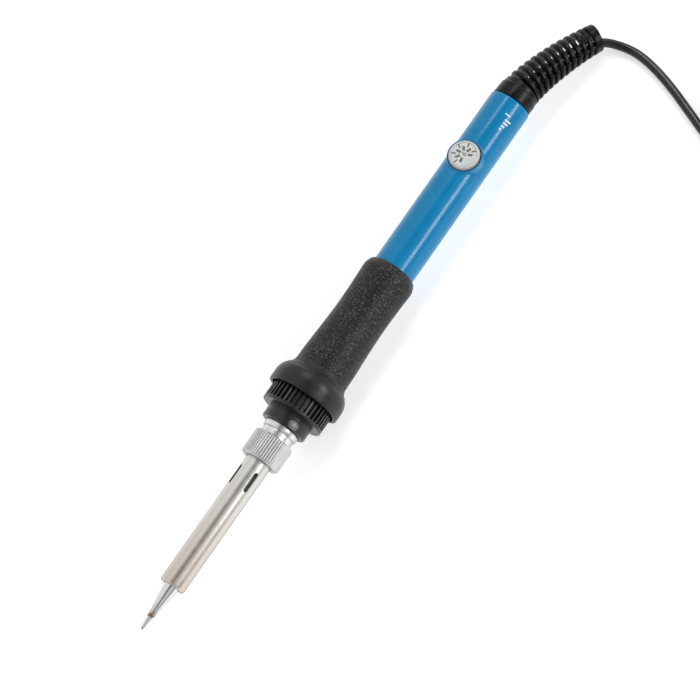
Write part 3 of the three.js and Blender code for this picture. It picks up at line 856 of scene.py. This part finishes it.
def make_tie():
    """A flat strap round the turns, with rounded corners."""
    low, high = (np.array(c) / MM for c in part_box("coil_tie"))
    wall, bottom = 0.8, 0.3
    near, far = high[1], low[1]
    top = high[2]
    corners = [(far, bottom, 0.3), (far, top, 2.0), (near, top, 2.0), (near, bottom, 0.3),
               (near - wall, bottom, 0.3), (near - wall, top - wall, 1.3),
               (far + wall, top - wall, 1.3), (far + wall, bottom, 0.3)]
    outline = rounded(corners)
    middle, half = (low[0] + high[0]) / 2, (high[0] - low[0]) / 2
    edge = 0.15
    rows = []
    for x, inset in ((-half, edge), (-half + edge, 0), (half - edge, 0), (half, edge)):
        centre = outline.mean(axis=0)
        pull = (centre - outline) / np.linalg.norm(centre - outline, axis=1)[:, None] * inset
        yz = outline + pull
        rows.append(np.column_stack([np.full(len(yz), middle + x), yz]))
    tie = lofted("coil_strap", rows, place=in_row)
    return dress(tie, black_plastic("strap_plastic", 3.0), "handle", "black_plastic", "coil_tie")


def super_section(half_x, half_z, power, count=64):
    """A rounded rectangle as a superellipse of (x, z) points."""
    turn = even_turns(count)
    c, s = np.cos(turn), np.sin(turn)
    return np.column_stack([
        half_x * np.sign(c) * np.abs(c) ** (2 / power),
        half_z * np.sign(s) * np.abs(s) ** (2 / power),
    ])


def make_plug():
    """A moulded two-blade plug: a block with finger grooves, shoulders and a ribbed neck."""
    low, high = (np.array(c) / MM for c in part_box("plug_body"))
    centre_x, centre_z = (low[0] + high[0]) / 2, (low[2] + high[2]) / 2
    wide, thick = (high[0] - low[0]) / 2, (high[2] - low[2]) / 2
    face, length = low[1], high[1] - low[1]
    shape = [  # share of the length, half width, half thickness, power
        (0.0, wide - 1.3, thick - 1.3, 5), (0.012, wide - 0.5, thick - 0.5, 5),
        (0.04, wide, thick, 5), (0.26, wide, thick, 5), (0.42, wide - 1.5, thick - 0.2, 4.5),
        (0.55, wide - 4.4, thick - 1.2, 4), (0.64, 5.6, 4.9, 3), (0.67, 5.2, 4.6, 3),
        (1.0, 4.2, 3.8, 2.6),
    ]
    shares = np.array([row[0] for row in shape])
    rows = []
    for share in np.linspace(0, 1, 120):
        half_x, half_z, power = (
            np.interp(share, shares, [row[k] for row in shape]) for k in (1, 2, 3))
        groove = 0.0
        if 0.12 < share < 0.36:
            groove = 0.55 * max(0.0, math.sin((share - 0.12) / 0.24 * 5 * 2 * math.pi)) ** 0.6
        if share > 0.7:
            groove = 0.7 * (math.sin((share - 0.7) / 0.3 * 4.5 * 2 * math.pi) > 0.2)
        section = super_section(half_x, half_z, power)
        squeeze = np.ones(2) - groove / np.array([half_x, half_z])
        if share < 0.5:
            squeeze[0] = 1.0
            middle = np.clip(1 - (np.abs(section[:, 0]) / (wide - 2.5)) ** 8, 0, 1)
            section[:, 1] *= 1 - middle * groove / half_z
        else:
            section = section * squeeze
        y = face + share * length
        rows.append(np.column_stack([
            centre_x + section[:, 0], np.full(len(section), y), centre_z + section[:, 1]]))
    plug = lofted("plug_moulding", rows, 40, in_row)
    return dress(plug, black_plastic("plug_plastic", 2.5), "handle", "plug_plastic", "plug_body")


def make_blade(letter):
    """A flat blade with rounded edges, a chamfered end and its hole."""
    node = "plug_blade_" + letter
    low, high = (np.array(c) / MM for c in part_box(node))
    half_x, half_z = (high[0] - low[0]) / 2, (high[2] - low[2]) / 2
    centre = (low + high) / 2
    rows = []
    for y, less in ((low[1], 0.55), (low[1] + 0.25, 0.3), (low[1] + 1.1, 0.0), (high[1], 0.0)):
        section = super_section(half_x - min(less, 0.5), half_z - less, 9, 32)
        rows.append(np.column_stack([
            centre[0] + section[:, 0], np.full(len(section), y), centre[2] + section[:, 1]]))
    blade = lofted("blade_" + letter, rows, place=in_row)
    turn = even_turns(32)
    hole_r, hole_y = 1.55, low[1] + 3.2
    rim = [np.column_stack([np.full(32, centre[0] + x), hole_y + hole_r * np.cos(turn),
                            centre[2] + hole_r * np.sin(turn)]) for x in (-3, 3)]
    cut(blade, lofted("hole", rim, place=in_row))
    return dress(blade, brass(), "handle", "brass", node)


# The strain relief

RELIEF_BASE_END = 208.6
RELIEF_END_RING = 3.2


def bent_points(along, side, up, curve):
    """Places beside the relief's curve: a distance along it, to its side and above it, in mm."""
    lengths = np.concatenate([[0], np.cumsum(np.linalg.norm(np.diff(curve, axis=0), axis=1))])
    _, across, upward = frames_along(curve)

    def pick(table):
        return np.stack([np.interp(along, lengths, column) for column in table.T], axis=1)

    inside = np.minimum(along, 0)[:, None] * np.array([[1.0, 0, 0]])
    return pick(curve) + inside + pick(across) * side[:, None] + pick(upward) * up[:, None]


def bent_turned(name, outline, curve, sides=96, crease=32):
    """A profile of (distance along the curve, radius) turned about the curve."""
    along, r, turn = revolved(outline, even_turns(sides))
    points = bent_points(along, -r * np.sin(turn), r * np.cos(turn), curve)
    return mesh_object(name, on_iron(points), grid_faces(len(outline), sides, True), crease)


def relief_spiral(curve, start, end, sides=96):
    """The open spiral: a flat-sided strip wound round the curve, a turn for each rib."""
    pitch = (end - start) / RELIEF_TURNS
    steps = int(RELIEF_TURNS * sides)
    u = np.linspace(0, 1, steps)
    section = rounded([(-0.22, -1, 0.2), (-0.26, 1, 0.7), (0.26, 1, 0.7), (0.22, -1, 0.2)], steps=7)
    turn = RELIEF_PHASE - 2 * math.pi * RELIEF_TURNS * u
    outer = np.interp(u, [0, 1], [6.35, 4.85])
    inner = np.interp(u, [0, 1], [2.7, 3.0])
    rows = []
    for share, radial in section:
        r = (outer + inner) / 2 + radial * (outer - inner) / 2
        along = start + (end - start) * u + share * pitch
        rows.append(bent_points(along, -r * np.sin(turn), r * np.cos(turn), curve))
    return lofted("spiral", np.stack(rows, axis=1), 40)


def relief_bar(curve, start, end, turn_degrees, sides=10):
    """A spine that joins the spiral's turns on one side."""
    turn = math.radians(turn_degrees)
    along = np.linspace(start, end, 60)
    share = (along - start) / (end - start)
    middle = np.interp(share, [0, 1], [4.4, 3.6])
    corner = even_turns(sides)
    rows = []
    for k in corner:
        angle = turn + 0.16 * np.cos(k)
        r = middle + 0.7 * np.sin(k)
        rows.append(bent_points(along, -r * np.sin(angle), r * np.cos(angle), curve))
    return lofted("bar", np.stack(rows, axis=1), 40)


RELIEF_TURNS = 11.55
RELIEF_PHASE = math.radians(-95)


def make_relief():
    curve = relief_line()
    total = length_of(curve)
    base_end = RELIEF_BASE_END - TUBE_REAR
    base_start = front("strain_relief") - TUBE_REAR
    ring_front = total - RELIEF_END_RING
    bore = CORD_R + 0.12
    base = bent_turned("base", rounded([
        (base_start, bore, 0), (base_start, 5.8, 0.3), (0.25, 5.8, 0), (0.25, 6.62, 0.25),
        (4.1, 6.62, 0.1), (4.5, 6.35, 0.15), (base_end, 6.25, 0.5), (base_end, 3.4, 0.3),
        (base_end + 1.0, 3.1, 0.3), (base_end + 1.0, bore, 0),
    ]), curve)
    end_ring = bent_turned("end", rounded([
        (ring_front, 3.3, 0.3), (ring_front, 4.8, 0.6), (total - 0.02, 4.65, 1.0),
        (total - 0.02, 3.6, 0.3), (ring_front + 1, 3.5, 0),
    ]), curve)
    spiral = relief_spiral(curve, base_end - 0.4, ring_front + 0.5)
    bars = [relief_bar(curve, base_end - 0.3, ring_front + 0.4, turn) for turn in (36, 72, 195)]
    relief = joined("relief_boot", [base, end_ring, spiral, *bars])
    return dress(relief, relief_rubber(), "handle", "relief_rubber", "strain_relief")


# The tip, the barrel and its nut

TIP_SHOULDER = 17.1
TIP_NECK_R = 2.55
TIP_FLAT_TURN = math.radians(25)


def make_tip():
    """A slim plated cone with two tinned flats and a hollow shank."""
    flat_end, shank_r, bore_r = 4.4, 3.25, 2.1
    bore_floor, bore_full = 18.2, 19.4

    def flats(x, r, turn):
        half = np.interp(x, [0, flat_end], [0.25, 1.2])
        limit = half / np.maximum(np.abs(np.cos(turn - TIP_FLAT_TURN)), 0.05)
        return np.where(x <= flat_end, np.minimum(r, limit), r)

    cone = [(x, np.interp(x, [0, BARREL_FRONT], [0.46, TIP_NECK_R]))
            for x in np.linspace(0.1, 6, 36)]
    outline = [
        (0, 0), (0, 0.3), (0.04, 0.41), *cone, (BARREL_FRONT, TIP_NECK_R),
        (TIP_SHOULDER, TIP_NECK_R), (TIP_SHOULDER, shank_r), (TIP_LENGTH, shank_r),
        (TIP_LENGTH, bore_r), (bore_full, bore_r), (bore_floor, 0),
    ]
    tip = turned("plated_tip", outline, even_turns(144), flats)
    return dress(tip, tip_plating(), "barrel", "tip_plating", "soldering_tip")


SLOT_FRONT = 51.8
SLOT_LENGTH = 7.0
SLOT_WIDTH = 1.35
SLOT_TURN = 43.2


def slot_cutter(turn_degrees):
    """A long rounded hole through one wall, a little wider at the outside for its broken edge."""
    turn = math.radians(turn_degrees)
    half, straight = SLOT_WIDTH / 2, SLOT_LENGTH - SLOT_WIDTH
    ends = [(SLOT_FRONT + half + straight, 1), (SLOT_FRONT + half, -1)]
    rows = []
    for height, wider in ((3.0, 0.0), (BARREL_R - 0.1, 0.0), (BARREL_R + 0.05, 0.1), (5.0, 0.5)):
        r = half + wider
        outline = []
        for centre, sign in ends:
            for k in np.linspace(-math.pi / 2, math.pi / 2, 13):
                outline.append((centre + sign * r * math.cos(k), sign * r * math.sin(k)))
        x, y = np.array(outline).T
        z = np.full(len(x), height)
        rows.append(np.column_stack([
            x, y * math.cos(turn) - z * math.sin(turn), y * math.sin(turn) + z * math.cos(turn)]))
    return lofted("slot", rows)


def make_barrel():
    """The satin barrel: a rolled front lip, four slots and a rear flange under the nut."""
    bore, lip, flange = 3.6, 2.75, 5.2
    flange_front, wall_rear = 64.9, rear("barrel_tube")
    outline = rounded([
        (BARREL_FRONT, lip, 0.15), (BARREL_FRONT, BARREL_R, 1.15),
        (flange_front, BARREL_R, 0), (flange_front, flange, 0.2), (wall_rear, flange, 0.2),
        (wall_rear, bore, 0),
        (BARREL_FRONT + 0.9, bore, 0), (BARREL_FRONT + 0.9, lip, 0),
    ], steps=9)
    barrel = turned("slotted_barrel", outline, even_turns(160))
    for turn in (0, 90, 180, 270):
        cut(barrel, slot_cutter(SLOT_TURN + turn))
    return dress(barrel, barrel_steel(), "barrel", "barrel_steel", "barrel_tube")


NUT_RIBS = 46
NUT_FLAT = 5.95
NUT_FLAT_TURN = math.radians(74)


def make_nut():
    """The knurled nut: straight ribs, two wrench flats, chamfered rims and a front lip."""
    turns, depth = ribbing(NUT_RIBS, [
        (share, 0.5 * (1 - math.sin(math.pi * share) ** 0.6)) for share in np.arange(10) / 10])

    def ribbed(x, r, turn):
        flat = NUT_FLAT / np.maximum(np.abs(np.cos(turn - NUT_FLAT_TURN)), 0.1)
        crest = np.minimum(NUT_R - depth(turn), flat)
        return np.where(r > 5.7, np.minimum(r, crest), r)

    bore, thread, lip_rear = BARREL_R + 0.15, 5.55, 64.7
    outline = rounded([
        (NUT_FRONT, bore, 0.1), (NUT_FRONT, NUT_R - 0.7, 0.15),
        (NUT_FRONT + 0.6, NUT_R + 0.02, 0.2), (NUT_REAR - 0.4, NUT_R + 0.02, 0.2),
        (NUT_REAR, NUT_R - 0.45, 0.1), (NUT_REAR, thread, 0.1),
        (lip_rear, thread, 0), (lip_rear, bore, 0),
    ])
    nut = turned("knurled_nut", outline, turns, ribbed, 28)
    # The nut's nickel is a darker copy, as painted shade.
    return dress(nut, nickel("nut_nickel", 0.36, 0.84), "nut", "nickel", "barrel_nut")


def make_nipple():
    """The nipple that the nut screws on, with its thread, a waist and a bright ring."""
    pitch, thread_r, depth = 1.0, 5.4, 0.22
    bore, spigot_r, spigot_rear = 3.6, 5.0, 84
    thread_front, thread_rear = front("barrel_nipple"), NUT_REAR + 0.4
    steps = np.linspace(thread_front + 0.4, thread_rear - 0.3, 44)
    ring_rear = COLLAR_FRONT - 0.15

    def threaded(x, r, turn):
        wave = np.abs((x / pitch + turn / (2 * math.pi)) % 1 * 2 - 1)
        inside = (r > 5.3) & (x > thread_front + 0.1) & (x < thread_rear - 0.1)
        return np.where(inside, r - depth * wave, r)

    waist = rounded([
        (thread_rear, 5.3, 0), (thread_rear + 0.3, 5.3, 0.15), (73.1, 5.32, 0.2),
        (73.35, 5.2, 0.05), (73.5, 5.7, 0.1), (74.1, 5.85, 0.3), (ring_rear, 5.85, 0.15),
        (ring_rear, spigot_r, 0),
    ], closed=False)
    outline = [
        (thread_front, bore), (thread_front, 5.1), *[(x, thread_r) for x in steps], *waist,
        (spigot_rear, spigot_r), (spigot_rear, bore),
    ]
    nipple = turned("threaded_nipple", outline, even_turns(128), threaded)
    return dress(nipple, nickel("nipple_nickel"), "handle", "nickel", "barrel_nipple")


# The collar, the grip and the tube

RING_RIBS = 40


def make_collar():
    """The heat-proof collar: a round neck with its bump, and a ring of thin ribs."""
    ribs_from = RING_FRONT + 1.0
    socket_r, socket_end, bore, spigot_r, spigot_rear = 5.15, 84.2, 4.0, 5.85, 104
    turns, depth = ribbing(RING_RIBS, [
        (0.03, 0.12), (0.1, 0.0), (0.25, 0.0), (0.4, 0.0), (0.47, 0.12), (0.5, 1.15),
        (0.75, 1.15), (0.99, 1.15)])

    def ribbed(x, r, turn):
        ends = smooth_step((x - ribs_from) / 0.35)
        on_ring = (r > RING_R - 0.4) & (x > ribs_from - 0.01)
        grooved = np.where(on_ring, r - depth(turn) * ends, r)
        away = (turn - BUMP_TURN + math.pi) % (2 * math.pi) - math.pi
        distance = np.hypot(x - BUMP_X, away * NECK_R)
        dome = 0.8 * np.clip(1 - (distance / 2.0) ** 2, 0, 1) ** 1.4
        return np.where((r > NECK_R - 0.4) & (r < NECK_R + 0.1) & (x < RING_FRONT - 0.05),
                        grooved + dome, grooved)

    neck = [(x, NECK_R) for x in np.linspace(COLLAR_FRONT + 1.15, RING_FRONT - 0.35, 20)]
    corner = rounded([(COLLAR_FRONT, socket_r, 0), (COLLAR_FRONT, NECK_R, 1.1),
                      (COLLAR_FRONT + 1.15, NECK_R, 0)], closed=False, steps=8)[:-1]
    ring = rounded([
        (RING_FRONT - 0.3, NECK_R, 0), (RING_FRONT, NECK_R + 0.05, 0), (RING_FRONT, RING_R, 0.35),
        (ribs_from - 0.02, RING_R, 0)], closed=False)
    ribs = [(x, RING_R) for x in (ribs_from, ribs_from + 0.1, ribs_from + 0.2, ribs_from + 0.35,
                                  RING_REAR - 0.2)]
    outline = [*corner, *neck, *ring, *ribs, (RING_REAR, RING_R), (RING_REAR, spigot_r),
               (spigot_rear, spigot_r), (spigot_rear, bore), (socket_end, bore),
               (socket_end, socket_r)]
    collar = turned("ribbed_collar", outline, turns, ribbed, 28)
    return dress(collar, collar_resin(), "handle", "collar_resin", "collar")


def make_grip():
    """The rubber grip: a skirt over the ribbed ring, a stepped waist and a long sleeve."""
    bore, skirt_bore = TUBE_R + 0.15, SKIRT_BORE_R
    floor = RING_REAR + 0.3
    x = SKIRT_FRONT
    outline = rounded([
        (x, skirt_bore, 0.15), (x, SKIRT_R - 0.05, 0.35), (x + 1.2, SKIRT_R, 0.4),
        (90.6, SKIRT_R, 0.9), (92.3, 11.75, 0.4), (93.1, 11.2, 0.2), (93.5, 10.75, 0.15),
        (93.8, 10.7, 0.1), (94.2, 10.0, 0.3), (95.2, 9.45, 0.5), (96.4, 9.12, 0.8),
        (102, 9.05, 3), (110, 8.6, 4), (118, 8.35, 4),
        (126, 8.5, 4), (132.4, 8.8, 1), (133.8, 8.78, 0.8), (GRIP_REAR - 0.5, 8.0, 0.6),
        (GRIP_REAR, 7.4, 0.2), (GRIP_REAR, bore, 0), (floor, bore, 0), (floor, skirt_bore, 0),
    ], steps=7)
    grip = turned("grip", outline, even_turns(160), crease=50)
    return dress(grip, grip_rubber(), "handle", "grip_rubber", "grip_sleeve")


BOSS_R = 5.75
BOSS_TOP = 7.05
RECESS_R = 5.3
RECESS_Y = -0.12


def make_tube():
    """The blue tube, with a soft-edged boss round the dial's recess."""
    wall_front, bore = front("handle_tube"), 6.0
    turns = np.radians(np.concatenate([np.arange(-84, 84, 1.0), np.arange(84, 276, 4.0)]))
    fine = np.arange(DIAL_X - BOSS_R - 1.5, DIAL_X + BOSS_R + 1.5, 0.16)

    def bossed(x, r, turn):
        chord = np.sqrt(np.clip(BOSS_R**2 - (x - DIAL_X) ** 2, 0, None))
        reach = np.maximum(chord - RECESS_Y * np.sign(np.sin(turn)), 0) * (chord > 0)
        side = reach / np.maximum(np.abs(np.sin(turn)), 1e-4)
        top = BOSS_TOP / np.maximum(np.cos(turn), 1e-4)
        top = np.where(np.cos(turn) > 0.05, top, 0)
        boss = -smooth_max(-side, -top, 0.5)
        return np.where(r > bore + 0.5, np.maximum(r, smooth_max(r, boss, 0.45) * (boss > 0)), r)

    outside = rounded([
        (wall_front, bore, 0), (wall_front, TUBE_R, 0), (fine[0] - 0.2, TUBE_R, 0)], closed=False)
    end = rounded([
        (fine[-1] + 0.2, TUBE_R, 0), (TUBE_REAR, TUBE_R, 0.45), (TUBE_REAR, bore, 0)],
        closed=False)
    outline = [*outside, *[(x, TUBE_R) for x in fine], *end]
    tube = turned("blue_tube", outline, turns, bossed, 40)
    recess = upright("recess", rounded([
        (4.4, 0, 0), (4.4, RECESS_R, 0), (BOSS_TOP - 0.15, RECESS_R, 0.1),
        (BOSS_TOP + 0.1, RECESS_R + 0.2, 0), (9, RECESS_R + 0.2, 0), (9, 0, 0),
    ], closed=False), (DIAL_X, RECESS_Y))
    cut(tube, recess, 40)
    return dress(tube, blue_plastic(), "handle", "blue_plastic", "handle_tube")


def make_tube_marks():
    """Generic level bars and a small index line, printed on the tube behind the dial."""
    pieces = []
    start, gap, width = 191.5, 1.15, 0.5
    for step in range(4):
        x, tall = start + step * gap, 0.9 + 0.5 * step
        pieces.append(wrapped_mark(x, x + width, 4.0, 4.0 + tall))
    pieces.append(wrapped_mark(start + 5.2, start + 5.6, 3.0, 5.0))
    marks = joined("tube_marks", pieces)
    return dress(marks, print_paint("white_print", (0.75, 0.85, 0.92)), "handle", "blue_plastic")


def wrapped_mark(x_from, x_to, arc_from, arc_to):
    """A thin printed bar that follows the tube, between two arc lengths from its top, in mm."""
    arcs = np.linspace(arc_from, arc_to, 8) / TUBE_R
    rows = []
    for r in (TUBE_R - 0.05, TUBE_R + 0.015):
        for x in (x_from, x_to):
            rows.append(np.column_stack([np.full(8, x), -r * np.sin(arcs), r * np.cos(arcs)]))
    low_a, low_b, high_a, high_b = rows
    return lofted("mark", np.stack([low_a, low_b, high_b, high_a], axis=1), 20)


# The dial

DIAL_FACE_R = 4.15
DIAL_NUMBERS = ("450", "400", "350", "300", "250", "200")
DIAL_STEP = 2 * math.pi / 7
DIAL_FIRST = math.radians(-14) - IRON_SLOPE
DIAL_TICK = math.radians(12) - IRON_SLOPE


def make_dial():
    """The dial: a flat face with a fine step, a serrated shoulder and a plain skirt."""
    turns, depth = ribbing(64, [(0.1, 0.0), (0.4, 0.0), (0.6, 0.16), (0.9, 0.16)])
    widest = 7.3

    def serrated(height, r, turn):
        share = smooth_step((DIAL_TOP - 0.1 - height) / 0.15) * smooth_step((height - widest) / 0.1)
        return np.where(r > DIAL_FACE_R, r - depth(turn) * share, r)

    shoulder = [(height, DIAL_R + (DIAL_FACE_R + 0.25 - DIAL_R) * share) for share, height in
                ((0.0, widest), (0.12, widest + 0.15), (0.35, widest + 0.34),
                 (0.7, widest + 0.54), (0.95, DIAL_TOP - 0.06), (1.0, DIAL_TOP - 0.02))]
    outline = [
        (4.9, 0), (4.9, DIAL_R - 0.1), (5.0, DIAL_R), *shoulder,
        (DIAL_TOP, DIAL_FACE_R + 0.15), (DIAL_TOP, DIAL_FACE_R + 0.1),
        (DIAL_TOP - 0.2, DIAL_FACE_R + 0.04), (DIAL_TOP - 0.2, DIAL_FACE_R - 0.1),
        (DIAL_TOP - 0.06, DIAL_FACE_R - 0.16), (DIAL_TOP - 0.06, 0),
    ]
    dial = upright("dial_knob", outline, (DIAL_X, 0), turns, serrated, 28)
    return dress(dial, grey_plastic(), "dial", "grey_plastic", "temperature_dial")


def printed_text(words, size, radius, angle, spin):
    """Thin raised lettering on the dial's face, centred at a radius and an angle."""
    curve = bpy.data.curves.new("text", "FONT")
    curve.body = words
    curve.size = size * MM
    curve.extrude = 0.01 * MM
    curve.offset = 0.06 * MM
    curve.align_x, curve.align_y = "CENTER", "CENTER"
    curve.resolution_u = 2
    text = placed("text", curve)
    mesh = bpy.data.meshes.new_from_object(text)
    bpy.data.objects.remove(text)
    centre = on_iron([
        (DIAL_X + radius * math.cos(angle), radius * math.sin(angle), DIAL_TOP - 0.055)])
    mesh.transform(Matrix.Translation(Vector(centre[0])) @ Matrix.Rotation(spin, 4, "Z"))
    return placed("text", mesh)


def dial_tick(angle, inner, outer, width):
    """A thin printed line along a radius of the dial's face."""
    ahead = np.array([math.cos(angle), math.sin(angle)])
    side = np.array([-ahead[1], ahead[0]]) * width / 2
    corners = [inner * ahead - side, outer * ahead - side,
               outer * ahead + side, inner * ahead + side]
    return lofted("tick", [[(DIAL_X + x, y, height) for x, y in corners]
                           for height in (DIAL_TOP - 0.09, DIAL_TOP - 0.048)])


def make_dial_print():
    """Generic temperature numbers, a line between each pair, and the unit in the middle."""
    pieces = [
        printed_text(number, 1.1, 2.0, DIAL_FIRST + DIAL_STEP * i, DIAL_FIRST + DIAL_STEP * i)
        for i, number in enumerate(DIAL_NUMBERS)
    ]
    pieces += [dial_tick(DIAL_TICK + DIAL_STEP * i, 2.6, 3.98, 0.38)
               for i in range(len(DIAL_NUMBERS) - 1)]
    pieces.append(printed_text("°C", 1.4, 0.0, 0.0, DIAL_FIRST))
    marks = joined("dial_marks", pieces)
    return dress(marks, print_paint("dark_print", (0.012, 0.014, 0.015)), "dial", "grey_plastic")


# Inside


def bevelled(node, width_mm):
    """Rounds a CAD node's edges a little, without touching its mesh."""
    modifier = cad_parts[node].modifiers.new("edges", "BEVEL")
    modifier.width = width_mm * MM
    modifier.segments = 2
    modifier.limit_method = "ANGLE"


def dress_inside():
    """Materials for the pieces inside, which the frame shows as they are."""
    black, red, bare = black_plastic("epoxy", 4.0), red_plastic(), nickel("tinned_wire")
    white, fibre, bright = ceramic(), glass_fibre(), copper()
    timing = resistor_body("timing_bands", [(120.2, (0.4, 0.2, 0.02)), (121.4, gray(0.02)),
                                            (122.6, (0.5, 0.3, 0.0)), (124, (0.5, 0.35, 0.08))])
    limit = resistor_body("limit_bands", [(166.8, (0.3, 0.02, 0.02)), (167.7, (0.3, 0.02, 0.02)),
                                          (168.6, (0.25, 0.1, 0.02)), (169.6, (0.5, 0.35, 0.08))])
    looks = {
        "dial_shaft": black, "dial_resistor": black, "power_triac": black,
        "ceramic_heater": white, "heater_bush": white, "circuit_board": board(),
        "film_capacitor": red, "trigger_diac": red, "timing_resistor": timing,
        "limit_resistor": limit, "heater_wire_a": bare, "heater_wire_b": bare,
        "heater_wire_sleeve_a": fibre, "heater_wire_sleeve_b": fibre,
        "mains_wire_a": bright, "mains_wire_b": bright, "cord_crimp": bare,
    }
    for node, material in looks.items():
        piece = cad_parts[node]
        piece.data.materials.clear()
        piece.data.materials.append(material)
    for node in ("power_triac", "film_capacitor", "dial_resistor"):
        bevelled(node, 0.3)


# The whole

make_camera()
make_light()
make_floor()
relief = make_relief()
lead = make_lead_in()
plug_pieces = [make_plug(), make_blade("a"), make_blade("b")]
make_cord([relief, lead, make_tie(), *plug_pieces])
make_tip()
make_barrel()
make_nut()
make_nipple()
make_collar()
make_grip()
make_tube()
make_tube_marks()
make_dial()
make_dial_print()
dress_inside()

bpy.context.scene.view_settings.view_transform = "Standard"
